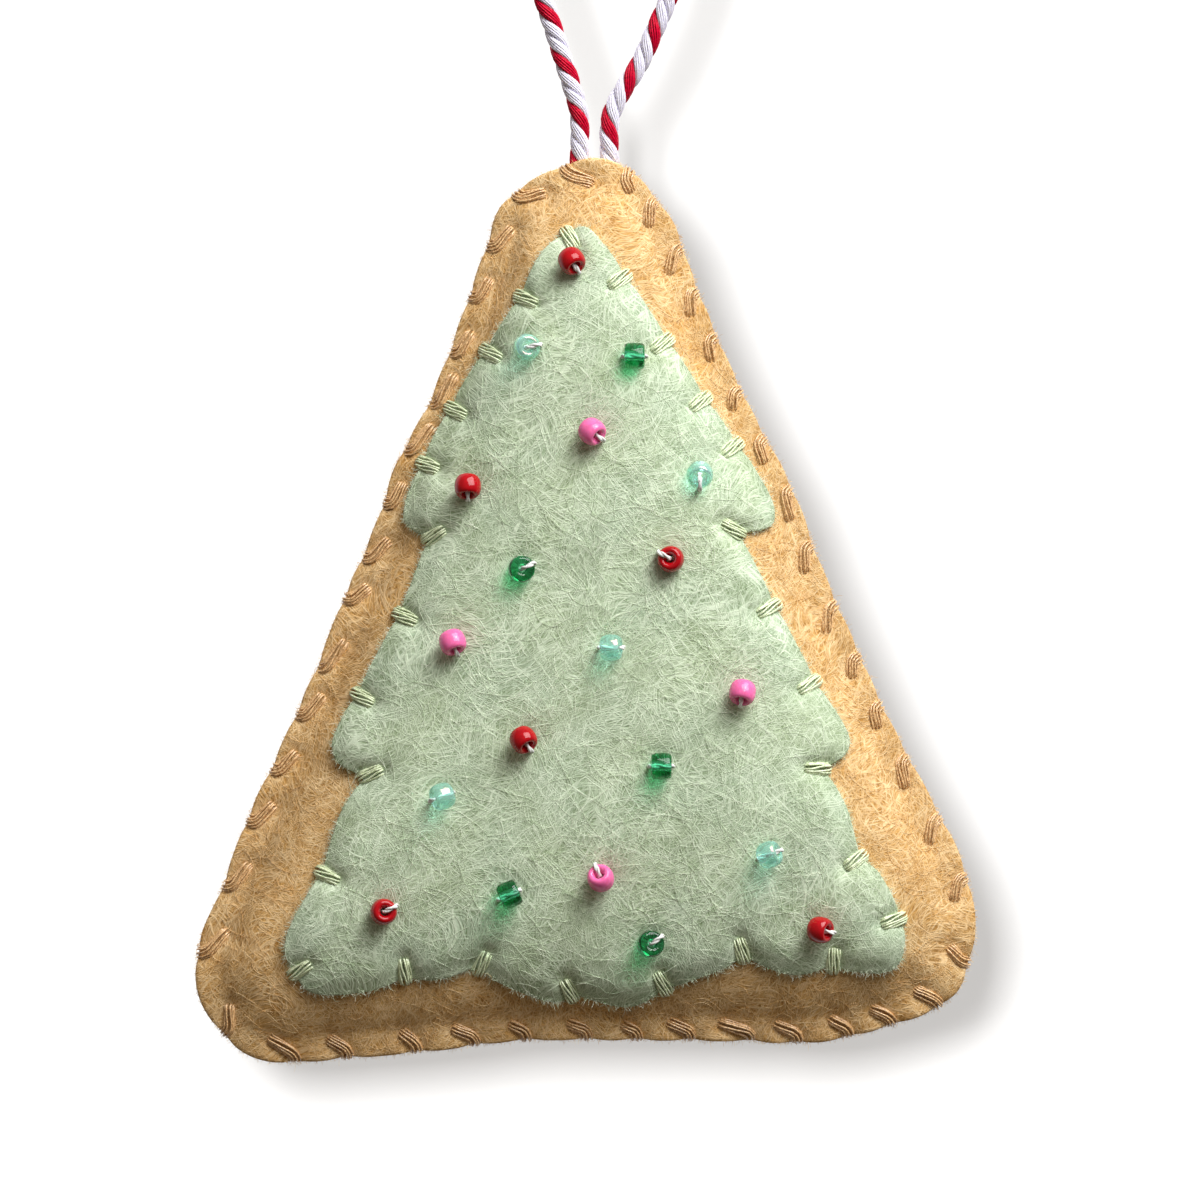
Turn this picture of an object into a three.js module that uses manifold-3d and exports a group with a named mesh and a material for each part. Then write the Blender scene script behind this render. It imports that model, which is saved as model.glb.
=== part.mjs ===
// Stuffed felt ornament: two crowned tan felt panels whip-stitched round their rim over a soft filling,
// a mint felt tree sewn on the front with twenty glass beads, and a loop of twine caught in the top seam.
// Millimetres, +Z up, the front faces -Y. The origin is the point where the loop hangs on its hook.

import * as THREE from 'three';
import { mergeVertices } from 'three/addons/utils/BufferGeometryUtils.js';
import Module from 'manifold-3d';

const wasm = await Module();
wasm.setup();

// Overall sizes
const cookieWidth = 69.1;
const cookieHeight = 80;
const loopHeight = 66;

// Felt panels and their seam
const feltThickness = 1.3;
const rimThickness = 0.7;
const seamGap = 0.3;
const seamWidth = 2.6;
const leastBite = 1.3;
const stitchDrawIn = 0.4;
const crownHeight = 4.4;
const crownPowerShare = 2.4;
const crownRoundShare = 0.75;
const middleShares = [-0.005, 0.4];
const ringShares = [0.88, 0.64, 0.34];
const ringThinningShares = [0.5, 0.25, 0.25];

// Twine, its mouth in the top seam and its knot
const twineDiameter = 1.7;
const tailSpacing = 2.6;
const tailSplay = 1.4;
const tailSetback = 1.2;
const swingHeight = 1.5;
const mouthLift = 0.7;
const mouthReach = 6;
const knotDepth = 11.5;
const knotSetback = 0.9;
const knotWidth = 5.4;
const knotThickness = 2.2;
const knotHeight = 4.6;
const knotEndLength = 1.2;
const twineSides = 8;
const twineSteps = 36;
const knotFacets = 10;

// Filling
const fillShare = 0.72;
const fillingSlack = 0.5;

// Tree and its stitches
const treeThickness = 1.3;
const treeStitchBite = 1.9;
const pointsPerSpan = 2;

// Threads
const edgeFlossDiameter = 0.9;
const treeFlossDiameter = 0.8;
const beadThreadDiameter = 0.4;
const flossSides = 4;
const needleHoleSides = 4;
const beadThreadSides = 3;

// Beads
const beadDiameter = 2.4;
const beadLength = 1.8;
const beadBore = 0.9;
const beadLipShare = 0.8;
const beadSegments = 9;

// Clearances between pieces, and how far cutters run past what they cut
const clearance = 0.3;
const needleClearance = 0.16;
const overrun = 1;

// Colours of the pieces
const tanFelt = { color: 0xd8b27c, roughness: 0.95, metalness: 0 };
const mintFelt = { color: 0xc3d6b2, roughness: 0.95, metalness: 0 };
const tanFloss = { color: 0xc79a5e, roughness: 0.5, metalness: 0 };
const greenFloss = { color: 0xb9c99a, roughness: 0.5, metalness: 0 };
const whiteThread = { color: 0xf2f2ef, roughness: 0.7, metalness: 0 };
const whiteFilling = { color: 0xf4f2ec, roughness: 1, metalness: 0 };
const twineYarn = { color: 0xe0b4bc, roughness: 0.85, metalness: 0 };
const beadGlass = {
  red: { color: 0xc4121f, roughness: 0.12, metalness: 0 },
  aqua: { color: 0xa8dccb, roughness: 0.1, metalness: 0 },
  green: { color: 0x16934e, roughness: 0.1, metalness: 0 },
  pink: { color: 0xf27fae, roughness: 0.12, metalness: 0 },
};

// The cookie's rim, clockwise from the top: shares of its width from the middle line and of its height
const cookieShares = [
  [-0.003, 1], [0.045, 0.988], [0.076, 0.96], [0.103, 0.926], [0.125, 0.874], [0.161, 0.796],
  [0.207, 0.712], [0.254, 0.635], [0.29, 0.551], [0.332, 0.467], [0.38, 0.376], [0.432, 0.291],
  [0.469, 0.227], [0.488, 0.152], [0.469, 0.084], [0.442, 0.061], [0.387, 0.042], [0.289, 0.022],
  [0.171, 0.023], [0.034, 0.024], [-0.099, 0.023], [-0.198, 0.013], [-0.316, 0.004], [-0.413, 0],
  [-0.46, 0.017], [-0.506, 0.071], [-0.508, 0.128], [-0.48, 0.189], [-0.446, 0.268], [-0.401, 0.352],
  [-0.357, 0.437], [-0.323, 0.511], [-0.28, 0.597], [-0.254, 0.663], [-0.214, 0.728], [-0.177, 0.809],
  [-0.139, 0.904], [-0.12, 0.947], [-0.08, 0.976],
];

// The tree's outline, clockwise, as runs between its notches
const treeRunShares = [
  [
    [-0.214, 0.577], [-0.243, 0.597], [-0.242, 0.619], [-0.21, 0.685], [-0.162, 0.759], [-0.099, 0.843],
    [-0.067, 0.895], [-0.035, 0.918], [-0.012, 0.923], [0.013, 0.902], [0.081, 0.817], [0.139, 0.74],
    [0.207, 0.654], [0.23, 0.613], [0.227, 0.594], [0.186, 0.583],
  ],
  [[0.186, 0.583], [0.229, 0.511], [0.28, 0.427], [0.326, 0.358], [0.321, 0.342], [0.295, 0.325]],
  [
    [0.295, 0.325], [0.321, 0.284], [0.34, 0.233], [0.366, 0.207], [0.396, 0.146], [0.387, 0.108],
    [0.367, 0.1], [0.296, 0.105],
  ],
  [[0.296, 0.105], [0.254, 0.098], [0.191, 0.116]],
  [[0.191, 0.116], [0.156, 0.102], [0.093, 0.081], [0.045, 0.062], [-0.022, 0.074]],
  [[-0.022, 0.074], [-0.049, 0.067], [-0.116, 0.087], [-0.154, 0.105]],
  [[-0.154, 0.105], [-0.198, 0.093], [-0.241, 0.093]],
  [
    [-0.241, 0.093], [-0.295, 0.079], [-0.366, 0.081], [-0.395, 0.128], [-0.346, 0.22], [-0.323, 0.278],
    [-0.295, 0.316],
  ],
  [[-0.295, 0.316], [-0.327, 0.332], [-0.335, 0.352], [-0.291, 0.43], [-0.243, 0.511], [-0.214, 0.577]],
];

// Whip stitches round the rim, clockwise from the top: rim end, then needle hole
const edgeStitchShares = [
  [-0.047, 0.992, 0, 0.966], [0.046, 0.986, 0.043, 0.963], [0.079, 0.954, 0.066, 0.924],
  [0.108, 0.899, 0.092, 0.873], [0.131, 0.852, 0.119, 0.827], [0.152, 0.799, 0.146, 0.778],
  [0.186, 0.743, 0.173, 0.723], [0.214, 0.687, 0.215, 0.664], [0.25, 0.632, 0.249, 0.601],
  [0.276, 0.57, 0.265, 0.544], [0.304, 0.504, 0.293, 0.477], [0.334, 0.447, 0.326, 0.428],
  [0.363, 0.394, 0.36, 0.373], [0.399, 0.336, 0.394, 0.304], [0.436, 0.268, 0.424, 0.243],
  [0.476, 0.205, 0.456, 0.181], [0.481, 0.108, 0.451, 0.128], [0.437, 0.067, 0.41, 0.084],
  [0.38, 0.044, 0.355, 0.062], [0.325, 0.033, 0.304, 0.051], [0.258, 0.023, 0.234, 0.045],
  [0.199, 0.027, 0.163, 0.047], [0.121, 0.029, 0.097, 0.047], [0.053, 0.029, 0.038, 0.044],
  [-0.01, 0.027, -0.031, 0.045], [-0.088, 0.029, -0.107, 0.045], [-0.153, 0.022, -0.179, 0.041],
  [-0.229, 0.017, -0.245, 0.036], [-0.317, 0.015, -0.339, 0.03], [-0.383, 0.007, -0.413, 0.03],
  [-0.478, 0.03, -0.462, 0.064], [-0.504, 0.122, -0.468, 0.142], [-0.478, 0.198, -0.439, 0.217],
  [-0.445, 0.268, -0.409, 0.282], [-0.412, 0.326, -0.38, 0.34], [-0.382, 0.387, -0.346, 0.403],
  [-0.354, 0.438, -0.317, 0.463], [-0.318, 0.513, -0.287, 0.523], [-0.294, 0.56, -0.262, 0.575],
  [-0.268, 0.619, -0.25, 0.64], [-0.24, 0.678, -0.214, 0.705], [-0.213, 0.731, -0.186, 0.76],
  [-0.184, 0.787, -0.158, 0.805], [-0.159, 0.846, -0.132, 0.863], [-0.138, 0.904, -0.104, 0.919],
  [-0.099, 0.96, -0.064, 0.958],
];

// Overcast stitches round the tree, clockwise from its tip
const treeStitchShares = [
  [-0.03, 0.908], [0.025, 0.86], [0.083, 0.792], [0.133, 0.729], [0.167, 0.674], [0.168, 0.593],
  [0.22, 0.501], [0.268, 0.415], [0.276, 0.326], [0.336, 0.227], [0.375, 0.157], [0.305, 0.116],
  [0.186, 0.133], [0.084, 0.095], [-0.034, 0.085], [-0.138, 0.121], [-0.243, 0.113], [-0.371, 0.106],
  [-0.332, 0.205], [-0.28, 0.321], [-0.287, 0.4], [-0.235, 0.49], [-0.19, 0.588], [-0.208, 0.658],
  [-0.175, 0.719], [-0.127, 0.78], [-0.086, 0.842],
];

// Beads in sewing order: colour, place in shares, lean of the bore towards the viewer and its turn, in degrees
const beads = [
  { glass: 'red', placeShares: [-0.029, 0.884], lean: 60, turn: -55 },
  { glass: 'aqua', placeShares: [-0.086, 0.789], lean: 90, turn: 0 },
  { glass: 'green', placeShares: [0.051, 0.779], lean: 0, turn: 0 },
  { glass: 'pink', placeShares: [-0.003, 0.696], lean: 35, turn: -45 },
  { glass: 'aqua', placeShares: [0.134, 0.649], lean: 90, turn: 180 },
  { glass: 'red', placeShares: [0.097, 0.556], lean: 90, turn: 180 },
  { glass: 'green', placeShares: [-0.093, 0.545], lean: 90, turn: 0 },
  { glass: 'red', placeShares: [-0.161, 0.636], lean: 35, turn: -90 },
  { glass: 'pink', placeShares: [-0.18, 0.465], lean: 35, turn: -90 },
  { glass: 'aqua', placeShares: [0.021, 0.459], lean: 0, turn: 20 },
  { glass: 'pink', placeShares: [0.188, 0.41], lean: 35, turn: -90 },
  { glass: 'green', placeShares: [0.085, 0.329], lean: 0, turn: 0 },
  { glass: 'red', placeShares: [-0.09, 0.358], lean: 35, turn: -45 },
  { glass: 'aqua', placeShares: [-0.193, 0.296], lean: 0, turn: 200 },
  { glass: 'red', placeShares: [-0.268, 0.169], lean: 90, turn: 0 },
  { glass: 'green', placeShares: [-0.108, 0.188], lean: 0, turn: 20 },
  { glass: 'pink', placeShares: [0.008, 0.206], lean: 90, turn: 90 },
  { glass: 'green', placeShares: [0.071, 0.133], lean: 90, turn: 0 },
  { glass: 'aqua', placeShares: [0.222, 0.232], lean: 0, turn: 10 },
  { glass: 'red', placeShares: [0.287, 0.149], lean: 0, turn: -20 },
];

// The free twine, from the left tail up over the hook and down to the right tail: across, and above the rim
const loopRoute = [
  [-1.3, 2.65], [-1.4, 4.2], [-1.9, 6], [-2.6, 8.2], [-3.5, 11], [-4.5, 14], [-6.3, 20], [-8.2, 27],
  [-9.6, 35], [-10.1, 43], [-9.6, 51], [-8.2, 57.5], [-5.9, 62.7], [-3.2, 65.8], [0, 66.85], [3.4, 65.8],
  [6.4, 62.6], [9, 57.2], [10.7, 51], [11.4, 43], [11.2, 35], [10.2, 27], [8.4, 20], [6.5, 14], [5.2, 11],
  [3.9, 8.2], [2.5, 6], [1.6, 4.2], [1.3, 2.65],
];

const bottomLevel = -loopHeight - cookieHeight;
const rimLevel = -loopHeight;
const twineRadius = twineDiameter / 2;
const beadRadius = beadDiameter / 2;
const swingLevel = rimLevel + swingHeight;

// A place on the front, across and up, from its shares of the cookie
function place([acrossShare, upShare]) {
  return new THREE.Vector2(acrossShare * cookieWidth, bottomLevel + upShare * cookieHeight);
}

function inPlane(point, depth) {
  return new THREE.Vector3(point.x, depth, point.y);
}

// Solids

// A closed solid for joining and cutting, from a geometry already placed
function solidOf(geometry) {
  const bare = geometry.clone();
  bare.deleteAttribute('normal');
  bare.deleteAttribute('uv');
  const merged = mergeVertices(bare);
  const vertProperties = new Float32Array(merged.attributes.position.array);
  const triVerts = new Uint32Array(merged.index.array);
  return new wasm.Manifold(new wasm.Mesh({ numProp: 3, vertProperties, triVerts }));
}

function geometryOf(solid) {
  const mesh = solid.getMesh();
  const geometry = new THREE.BufferGeometry();
  geometry.setAttribute('position', new THREE.BufferAttribute(new Float32Array(mesh.vertProperties), 3));
  geometry.setIndex(new THREE.BufferAttribute(new Uint32Array(mesh.triVerts), 1));
  geometry.computeVertexNormals();
  return geometry;
}

function cutAll(geometry, cutters) {
  return geometryOf(cutters.reduce((solid, cutter) => solid.subtract(solidOf(cutter)), solidOf(geometry)));
}

// The indices between two closed rows of points, where one row may have half the points of the other
function bandBetween(first, second) {
  const faces = [];
  const count = Math.max(first.length, second.length);
  for (let k = 0; k < count; k += 1) {
    const [a, aNext] = rowStep(first, k, count);
    const [b, bNext] = rowStep(second, k, count);
    if (a !== aNext) faces.push([a, aNext, bNext]);
    if (b !== bNext) faces.push([a, bNext, b]);
  }
  return faces;
}

// The two neighbours of a row that step k of a band joins: a thinned row stands still on every other step
function rowStep(row, k, count) {
  const thinning = count / row.length;
  const here = Math.floor((k + thinning - 1) / thinning);
  const next = Math.floor((k + thinning) / thinning);
  return [row[here % row.length], row[next % row.length]];
}

// A closed body from rows of points between two poles, facing outwards
function stackOfRows(firstPole, rows, lastPole) {
  const points = [firstPole, ...rows.flat(), lastPole];
  let used = 1;
  const numbered = rows.map((row) => row.map(() => used++));
  const faces = [];
  for (let k = 0; k + 1 < numbered.length; k += 1) faces.push(...bandBetween(numbered[k], numbered[k + 1]));
  faces.push(...bandBetween([0], numbered[0]), ...bandBetween(numbered.at(-1), [points.length - 1]));
  const volume = faces.reduce((sum, [a, b, c]) => {
    return sum + points[a].dot(new THREE.Vector3().crossVectors(points[b], points[c]));
  }, 0);
  const outward = volume > 0 ? faces : faces.map(([a, b, c]) => [a, c, b]);
  const geometry = new THREE.BufferGeometry().setFromPoints(points);
  geometry.setIndex(outward.flat());
  geometry.computeVertexNormals();
  return geometry;
}

// A route whose rings stand exactly on its points
class PointRoute extends THREE.Curve {
  constructor(points) {
    super();
    this.points = points;
  }

  getPoint(share, target = new THREE.Vector3()) {
    const at = share * (this.points.length - 1);
    const first = Math.min(Math.floor(at), this.points.length - 2);
    return target.lerpVectors(this.points[first], this.points[first + 1], at - first);
  }

  getPointAt(share, target) {
    return this.getPoint(share, target);
  }

  getTangentAt(share, target) {
    return this.getTangent(share, target);
  }

  getSpacedPoints(divisions) {
    return this.getPoints(divisions);
  }
}

function polygon(radius, sides) {
  const corners = [];
  for (let k = 0; k < sides; k += 1) {
    const angle = (2 * Math.PI * (k + 0.5)) / sides;
    corners.push(new THREE.Vector2(radius * Math.cos(angle), radius * Math.sin(angle)));
  }
  return new THREE.Shape(corners);
}

function tubeThrough(points, radius, sides) {
  const settings = { steps: points.length - 1, extrudePath: new PointRoute(points), bevelEnabled: false };
  return new THREE.ExtrudeGeometry(polygon(radius, sides), settings);
}

// A straight rod from one point to another
function rodBetween(from, to, radius, sides) {
  const along = to.clone().sub(from);
  const rod = new THREE.CylinderGeometry(radius, radius, along.length(), sides, 1);
  const turn = new THREE.Quaternion().setFromUnitVectors(new THREE.Vector3(0, 1, 0), along.clone().normalize());
  rod.applyQuaternion(turn);
  return rod.translate(...from.clone().lerp(to, 0.5).toArray());
}

// A needle hole square to the seam, wide enough for a thread of this diameter, between two depths
function needleHole(point, threadDiameter, nearDepth, farDepth) {
  const radius = (threadDiameter / 2 + needleClearance) / Math.cos(Math.PI / needleHoleSides);
  return rodBetween(inPlane(point, nearDepth), inPlane(point, farDepth), radius, needleHoleSides);
}

// The cookie's rim

const cookieCurve = new THREE.CatmullRomCurve3(
  cookieShares.map((share) => inPlane(place(share), 0)), true, 'centripetal',
);

// How far round the rim, as a share of its length, the point nearest to a place lies
function shareNearest(curve, point) {
  const divisions = 40 * edgeStitchShares.length;
  let best = 0;
  let least = Infinity;
  curve.getSpacedPoints(divisions).forEach((candidate, k) => {
    const distance = Math.hypot(candidate.x - point.x, candidate.z - point.y);
    if (distance < least) {
      least = distance;
      best = k / divisions;
    }
  });
  return best;
}

// A place on the rim with the direction that points into the cookie
function rimFrame(share) {
  const wrapped = ((share % 1) + 1) % 1;
  const point = cookieCurve.getPointAt(wrapped);
  const tangent = cookieCurve.getTangentAt(wrapped);
  return { point: new THREE.Vector2(point.x, point.z), inward: new THREE.Vector2(tangent.z, -tangent.x) };
}

// A needle hole stands at least the least bite inside the rim
function holeInside(shares) {
  const point = place(shares);
  const rim = rimFrame(shareNearest(cookieCurve, point));
  const bite = Math.max(leastBite, point.distanceTo(rim.point));
  return rim.point.clone().addScaledVector(rim.inward, bite);
}

const edgeStitches = edgeStitchShares.map((shares) => ({
  rimShare: shareNearest(cookieCurve, place(shares.slice(0, 2))),
  hole: holeInside(shares.slice(2)),
}));

// Two stations for each stitch: the stitch itself, which draws the rim in, and the swell after it
function rimStations() {
  const stations = [];
  edgeStitches.forEach((stitch, k) => {
    const following = edgeStitches[(k + 1) % edgeStitches.length].rimShare;
    const gap = (((following - stitch.rimShare) % 1) + 1) % 1;
    stations.push({ ...rimFrame(stitch.rimShare), drawIn: stitchDrawIn });
    stations.push({ ...rimFrame(stitch.rimShare + gap / 2), drawIn: 0 });
  });
  return stations;
}

const stations = rimStations();
const middle = place(middleShares);
const rimRow = stations.map(({ point, inward, drawIn }) => point.clone().addScaledVector(inward, drawIn));
const seamRow = stations.map(({ point, inward }) => point.clone().addScaledVector(inward, seamWidth));

// The seam's mouth opens round the twine, and closes with the distance from it
function mouthOpening(point) {
  const distance = Math.hypot(point.x, point.y - rimLevel);
  return mouthLift * Math.exp(-((distance / mouthReach) ** 2));
}

function cavityDepth(ringShare) {
  return crownHeight * (1 - ringShare ** crownPowerShare) ** crownRoundShare;
}

function ringAt(ringShare, thinningShare) {
  const step = 1 / thinningShare;
  const kept = seamRow.filter((point, k) => k % step === 0);
  return kept.map((point) => middle.clone().lerp(point, ringShare));
}

// Rows of one panel from the rim to the middle, with the depth of its inner face from the seam's plane
function panelRows() {
  const rows = [rimRow, seamRow].map((row) => {
    return row.map((point) => ({ point, depth: seamGap / 2 + mouthOpening(point) }));
  });
  ringShares.forEach((ringShare, k) => {
    const ring = ringAt(ringShare, ringThinningShares[k]);
    rows.push(ring.map((point) => ({
      point, depth: seamGap / 2 + cavityDepth(ringShare) + mouthOpening(point),
    })));
  });
  rows.push([{ point: middle, depth: seamGap / 2 + cavityDepth(0) }]);
  return rows;
}

const innerRows = panelRows();
const outerRows = innerRows.map((row, k) => {
  const thickness = k === 0 ? rimThickness : feltThickness;
  return row.map(({ point, depth }) => ({ point, depth: depth + thickness }));
});

// The depth of a panel's face at a place, on the flat facets between its rows
function faceDepth(rows) {
  const corners = rows.flat();
  let used = 0;
  const numbered = rows.map((row) => row.map(() => used++));
  const facets = [];
  for (let k = 0; k + 1 < numbered.length; k += 1) facets.push(...bandBetween(numbered[k], numbered[k + 1]));
  return (point) => {
    for (const facet of facets) {
      const [a, b, c] = facet.map((index) => corners[index]);
      const area = cross(a.point, b.point, c.point);
      const shares = [
        cross(point, b.point, c.point) / area,
        cross(a.point, point, c.point) / area,
        cross(a.point, b.point, point) / area,
      ];
      if (Math.min(...shares) >= 0) return shares[0] * a.depth + shares[1] * b.depth + shares[2] * c.depth;
    }
    return corners[0].depth;
  };
}

function cross(a, b, c) {
  return (b.x - a.x) * (c.y - a.y) - (b.y - a.y) * (c.x - a.x);
}

const innerDepth = faceDepth(innerRows);
const outerDepth = faceDepth(outerRows);

// Front faces towards -Y, back towards +Y
const front = -1;
const back = 1;

function placedRows(rows, side, lift = 0) {
  return rows.map((row) => row.map(({ point, depth }) => inPlane(point, side * (depth + lift))));
}

// Stitches round the tree

function treeOutline() {
  const outline = [];
  treeRunShares.forEach((runShares) => {
    const run = new THREE.CatmullRomCurve3(
      runShares.map((share) => inPlane(place(share), 0)), false, 'centripetal',
    );
    const points = run.getPoints((runShares.length - 1) * pointsPerSpan).slice(0, -1);
    outline.push(...points.map((point) => new THREE.Vector2(point.x, point.z)));
  });
  return outline;
}

const treeRim = treeOutline();

function nearestOnTree(point) {
  let nearest = treeRim[0];
  treeRim.forEach((corner, k) => {
    const following = treeRim[(k + 1) % treeRim.length];
    const along = following.clone().sub(corner);
    const share = THREE.MathUtils.clamp(point.clone().sub(corner).dot(along) / along.lengthSq(), 0, 1);
    const candidate = corner.clone().addScaledVector(along, share);
    if (candidate.distanceTo(point) < nearest.distanceTo(point)) nearest = candidate;
  });
  return nearest;
}

const treeFlossRadius = treeFlossDiameter / 2;
const treeStitches = treeStitchShares.map((shares) => {
  const centre = place(shares);
  const edge = nearestOnTree(centre);
  const outward = edge.clone().sub(centre).normalize();
  return {
    inner: edge.clone().addScaledVector(outward, -treeStitchBite),
    outer: edge.clone().addScaledVector(outward, clearance + treeFlossRadius),
  };
});

// Beads and the places where their thread passes the felts

function treeTopDepth(point) {
  return outerDepth(point) + clearance + treeThickness;
}

function beadPlacement({ placeShares, lean, turn }) {
  const point = place(placeShares);
  const leanAngle = THREE.MathUtils.degToRad(lean);
  const turnAngle = THREE.MathUtils.degToRad(turn);
  const across = new THREE.Vector2(Math.cos(turnAngle), Math.sin(turnAngle));
  const axis = inPlane(across.clone().multiplyScalar(Math.cos(leanAngle)), front * Math.sin(leanAngle));
  const reach = beadRadius * Math.cos(leanAngle) + (beadLength / 2) * Math.sin(leanAngle);
  const seat = treeTopDepth(point) + clearance;
  const centre = inPlane(point, front * (seat + reach));
  return { point, across, axis, centre, leanAngle };
}

const beadThreadRadius = beadThreadDiameter / 2;

// The corners of the thread over one bead, above the felt
function threadOverBead({ across, axis, centre, leanAngle }) {
  const past = clearance + beadThreadRadius;
  const reach = beadLength / 2 + past;
  const far = centre.clone().addScaledVector(axis, reach);
  const near = centre.clone().addScaledVector(axis, -reach);
  const side = (beadLength / 2) * Math.cos(leanAngle) + beadRadius * Math.sin(leanAngle) + past;
  const beside = inPlane(across.clone().multiplyScalar(side), 0).add(centre);
  beside.y = far.y;
  if (leanAngle === 0) return [near, far];
  return leanAngle === Math.PI / 2 ? [far, beside] : [near, far, beside];
}

const beadPlaces = beads.map(beadPlacement);
const beadCorners = beadPlaces.map(threadOverBead);

// Depths of the threads that travel behind the front panel, the bead thread under the tree's floss.
// Where the seam leaves no room, the floss lies between the felts and beds into both.
function treeTravelDepth(point) {
  return Math.max(0, innerDepth(point) - clearance - treeFlossRadius);
}

function beadTravelDepth(point) {
  return innerDepth(point) - clearance - treeFlossDiameter - clearance - beadThreadRadius;
}

const fillingInset = 3 * clearance + treeFlossDiameter + beadThreadDiameter + fillingSlack;

// The pieces

// Twine from the swing's axis down to the knot, grown by a margin where it cuts the felts
function tail(side, margin) {
  const radius = twineRadius + margin;
  const top = new THREE.Vector3((side * tailSpacing) / 2, 0, swingLevel);
  const foot = new THREE.Vector3((side * (tailSpacing + tailSplay)) / 2, tailSetback, rimLevel - knotDepth);
  const end = new THREE.SphereGeometry(radius, twineSides, twineSides / 2);
  end.rotateZ(Math.PI / 2);
  end.translate(...top.toArray());
  return solidOf(rodBetween(top, foot, radius, twineSides)).add(solidOf(end));
}

// The knot, with the two short ends that leave it
function knot(margin) {
  const centre = new THREE.Vector3(0, knotSetback, rimLevel - knotDepth);
  const lump = new THREE.SphereGeometry(0.5, knotFacets, knotFacets / 2);
  lump.scale(knotWidth + 2 * margin, knotThickness + 2 * margin, knotHeight + 2 * margin);
  lump.translate(...centre.toArray());
  return [-1, 1].reduce((solid, side) => {
    const from = centre.clone().setX((side * tailSpacing) / 2);
    const to = from.clone().setZ(centre.z - knotHeight / 2 - knotEndLength - margin);
    return solid.add(solidOf(rodBetween(from, to, twineRadius + margin, twineSides)));
  }, solidOf(lump));
}

function hangerKnot() {
  return geometryOf(tail(-1, 0).add(tail(1, 0)).add(knot(0)));
}

const mouthCutters = [-1, 1].map((side) => geometryOf(tail(side, clearance)));
const fellDepth = crownHeight + feltThickness + treeThickness + seamGap + overrun;

function panel(side, cutters) {
  const inner = placedRows(innerRows, side);
  const outer = placedRows(outerRows, side);
  const rows = [...inner.slice(0, -1).reverse(), ...outer.slice(0, -1)];
  const body = stackOfRows(inner.at(-1)[0], rows, outer.at(-1)[0]);
  return cutAll(body, [...mouthCutters, ...cutters]);
}

function edgeHoles() {
  return edgeStitches.map(({ hole }) => needleHole(hole, edgeFlossDiameter, -fellDepth, fellDepth));
}

// Beds in both felts for the tree's floss, wherever it lies in the seam with no room of its own
function flossBeds() {
  const radius = treeFlossRadius + needleClearance;
  const tight = (point) => innerDepth(point) < radius + clearance;
  return treeStitches.flatMap(({ outer }, k) => {
    const before = treeStitches.at(k - 1).inner;
    if (k === 0 || !tight(outer)) return [];
    const from = inPlane(before, front * treeTravelDepth(before));
    const to = inPlane(outer, front * treeTravelDepth(outer));
    const past = to.clone().sub(from).setLength(radius);
    return [rodBetween(from, to.clone().add(past), radius * Math.SQRT2, flossSides)];
  });
}

function beadHoles() {
  return beadCorners.flatMap((corners) => [corners[0], corners.at(-1)]).map(({ x, z }) => {
    return needleHole(new THREE.Vector2(x, z), beadThreadDiameter, -fellDepth, 0);
  });
}

function frontPanel() {
  const treeHoles = treeStitches.flatMap(({ inner, outer }) => [inner, outer]);
  return panel(front, [
    ...edgeHoles(), ...beadHoles(), ...flossBeds(),
    ...treeHoles.map((hole) => needleHole(hole, treeFlossDiameter, -fellDepth, 0)),
  ]);
}

function backPanel() {
  return panel(back, [...edgeHoles(), ...flossBeds()]);
}

// The tree follows the front panel's crown a clearance above it
function treeApplique() {
  const low = placedRows(outerRows, front, clearance);
  const high = placedRows(outerRows, front, clearance + treeThickness);
  const rows = [...low.slice(0, -1).reverse(), ...high.slice(0, -1)];
  const sheet = stackOfRows(low.at(-1)[0], rows, high.at(-1)[0]);
  const settings = { depth: fellDepth, bevelEnabled: false, steps: 1 };
  const prism = new THREE.ExtrudeGeometry(new THREE.Shape(treeRim), settings);
  prism.rotateX(Math.PI / 2);
  const tree = geometryOf(solidOf(prism).intersect(solidOf(sheet)));
  const treeHoles = treeStitches.map(({ inner }) => needleHole(inner, treeFlossDiameter, -fellDepth, 0));
  return cutAll(tree, [...treeHoles, ...beadHoles()]);
}

function stuffing() {
  const fillRingShares = [fillShare, ...ringShares.slice(1)];
  const fillThinningShares = [ringThinningShares[0], ...ringThinningShares.slice(1)];
  const rings = fillRingShares.map((ringShare, k) => ringAt(ringShare, fillThinningShares[k]));
  const frontRows = rings.map((ring) => ring.map((point) => {
    return inPlane(point, front * (innerDepth(point) - fillingInset));
  }));
  const backRows = rings.map((ring) => ring.map((point) => {
    return inPlane(point, back * (innerDepth(point) - clearance));
  }));
  const frontPole = inPlane(middle, front * (innerDepth(middle) - fillingInset));
  const backPole = inPlane(middle, back * (innerDepth(middle) - clearance));
  const body = stackOfRows(frontPole, [...frontRows.reverse(), ...backRows], backPole);
  return cutAll(body, [geometryOf(knot(clearance))]);
}

// One length of floss: round the rim, across the front, down the hole and back round on the next stitch
function edgeThread() {
  const radius = edgeFlossDiameter / 2;
  const off = radius + clearance;
  const points = [];
  edgeStitches.forEach(({ hole }, k) => {
    const { point, inward } = stations[2 * k];
    const rim = rimRow[2 * k];
    const rimDepth = outerRows[0][2 * k].depth;
    const shoulder = point.clone().addScaledVector(inward, -off / 4);
    const outside = rim.clone().addScaledVector(inward, -(off + radius));
    const holeDepth = outerDepth(hole) + off;
    points.push(inPlane(shoulder, back * (rimDepth + off)));
    points.push(inPlane(outside, 0));
    points.push(inPlane(shoulder, front * (rimDepth + off)));
    points.push(inPlane(hole, front * holeDepth));
    points.push(inPlane(hole, back * holeDepth));
  });
  return tubeThrough(points, radius, flossSides);
}

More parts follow.
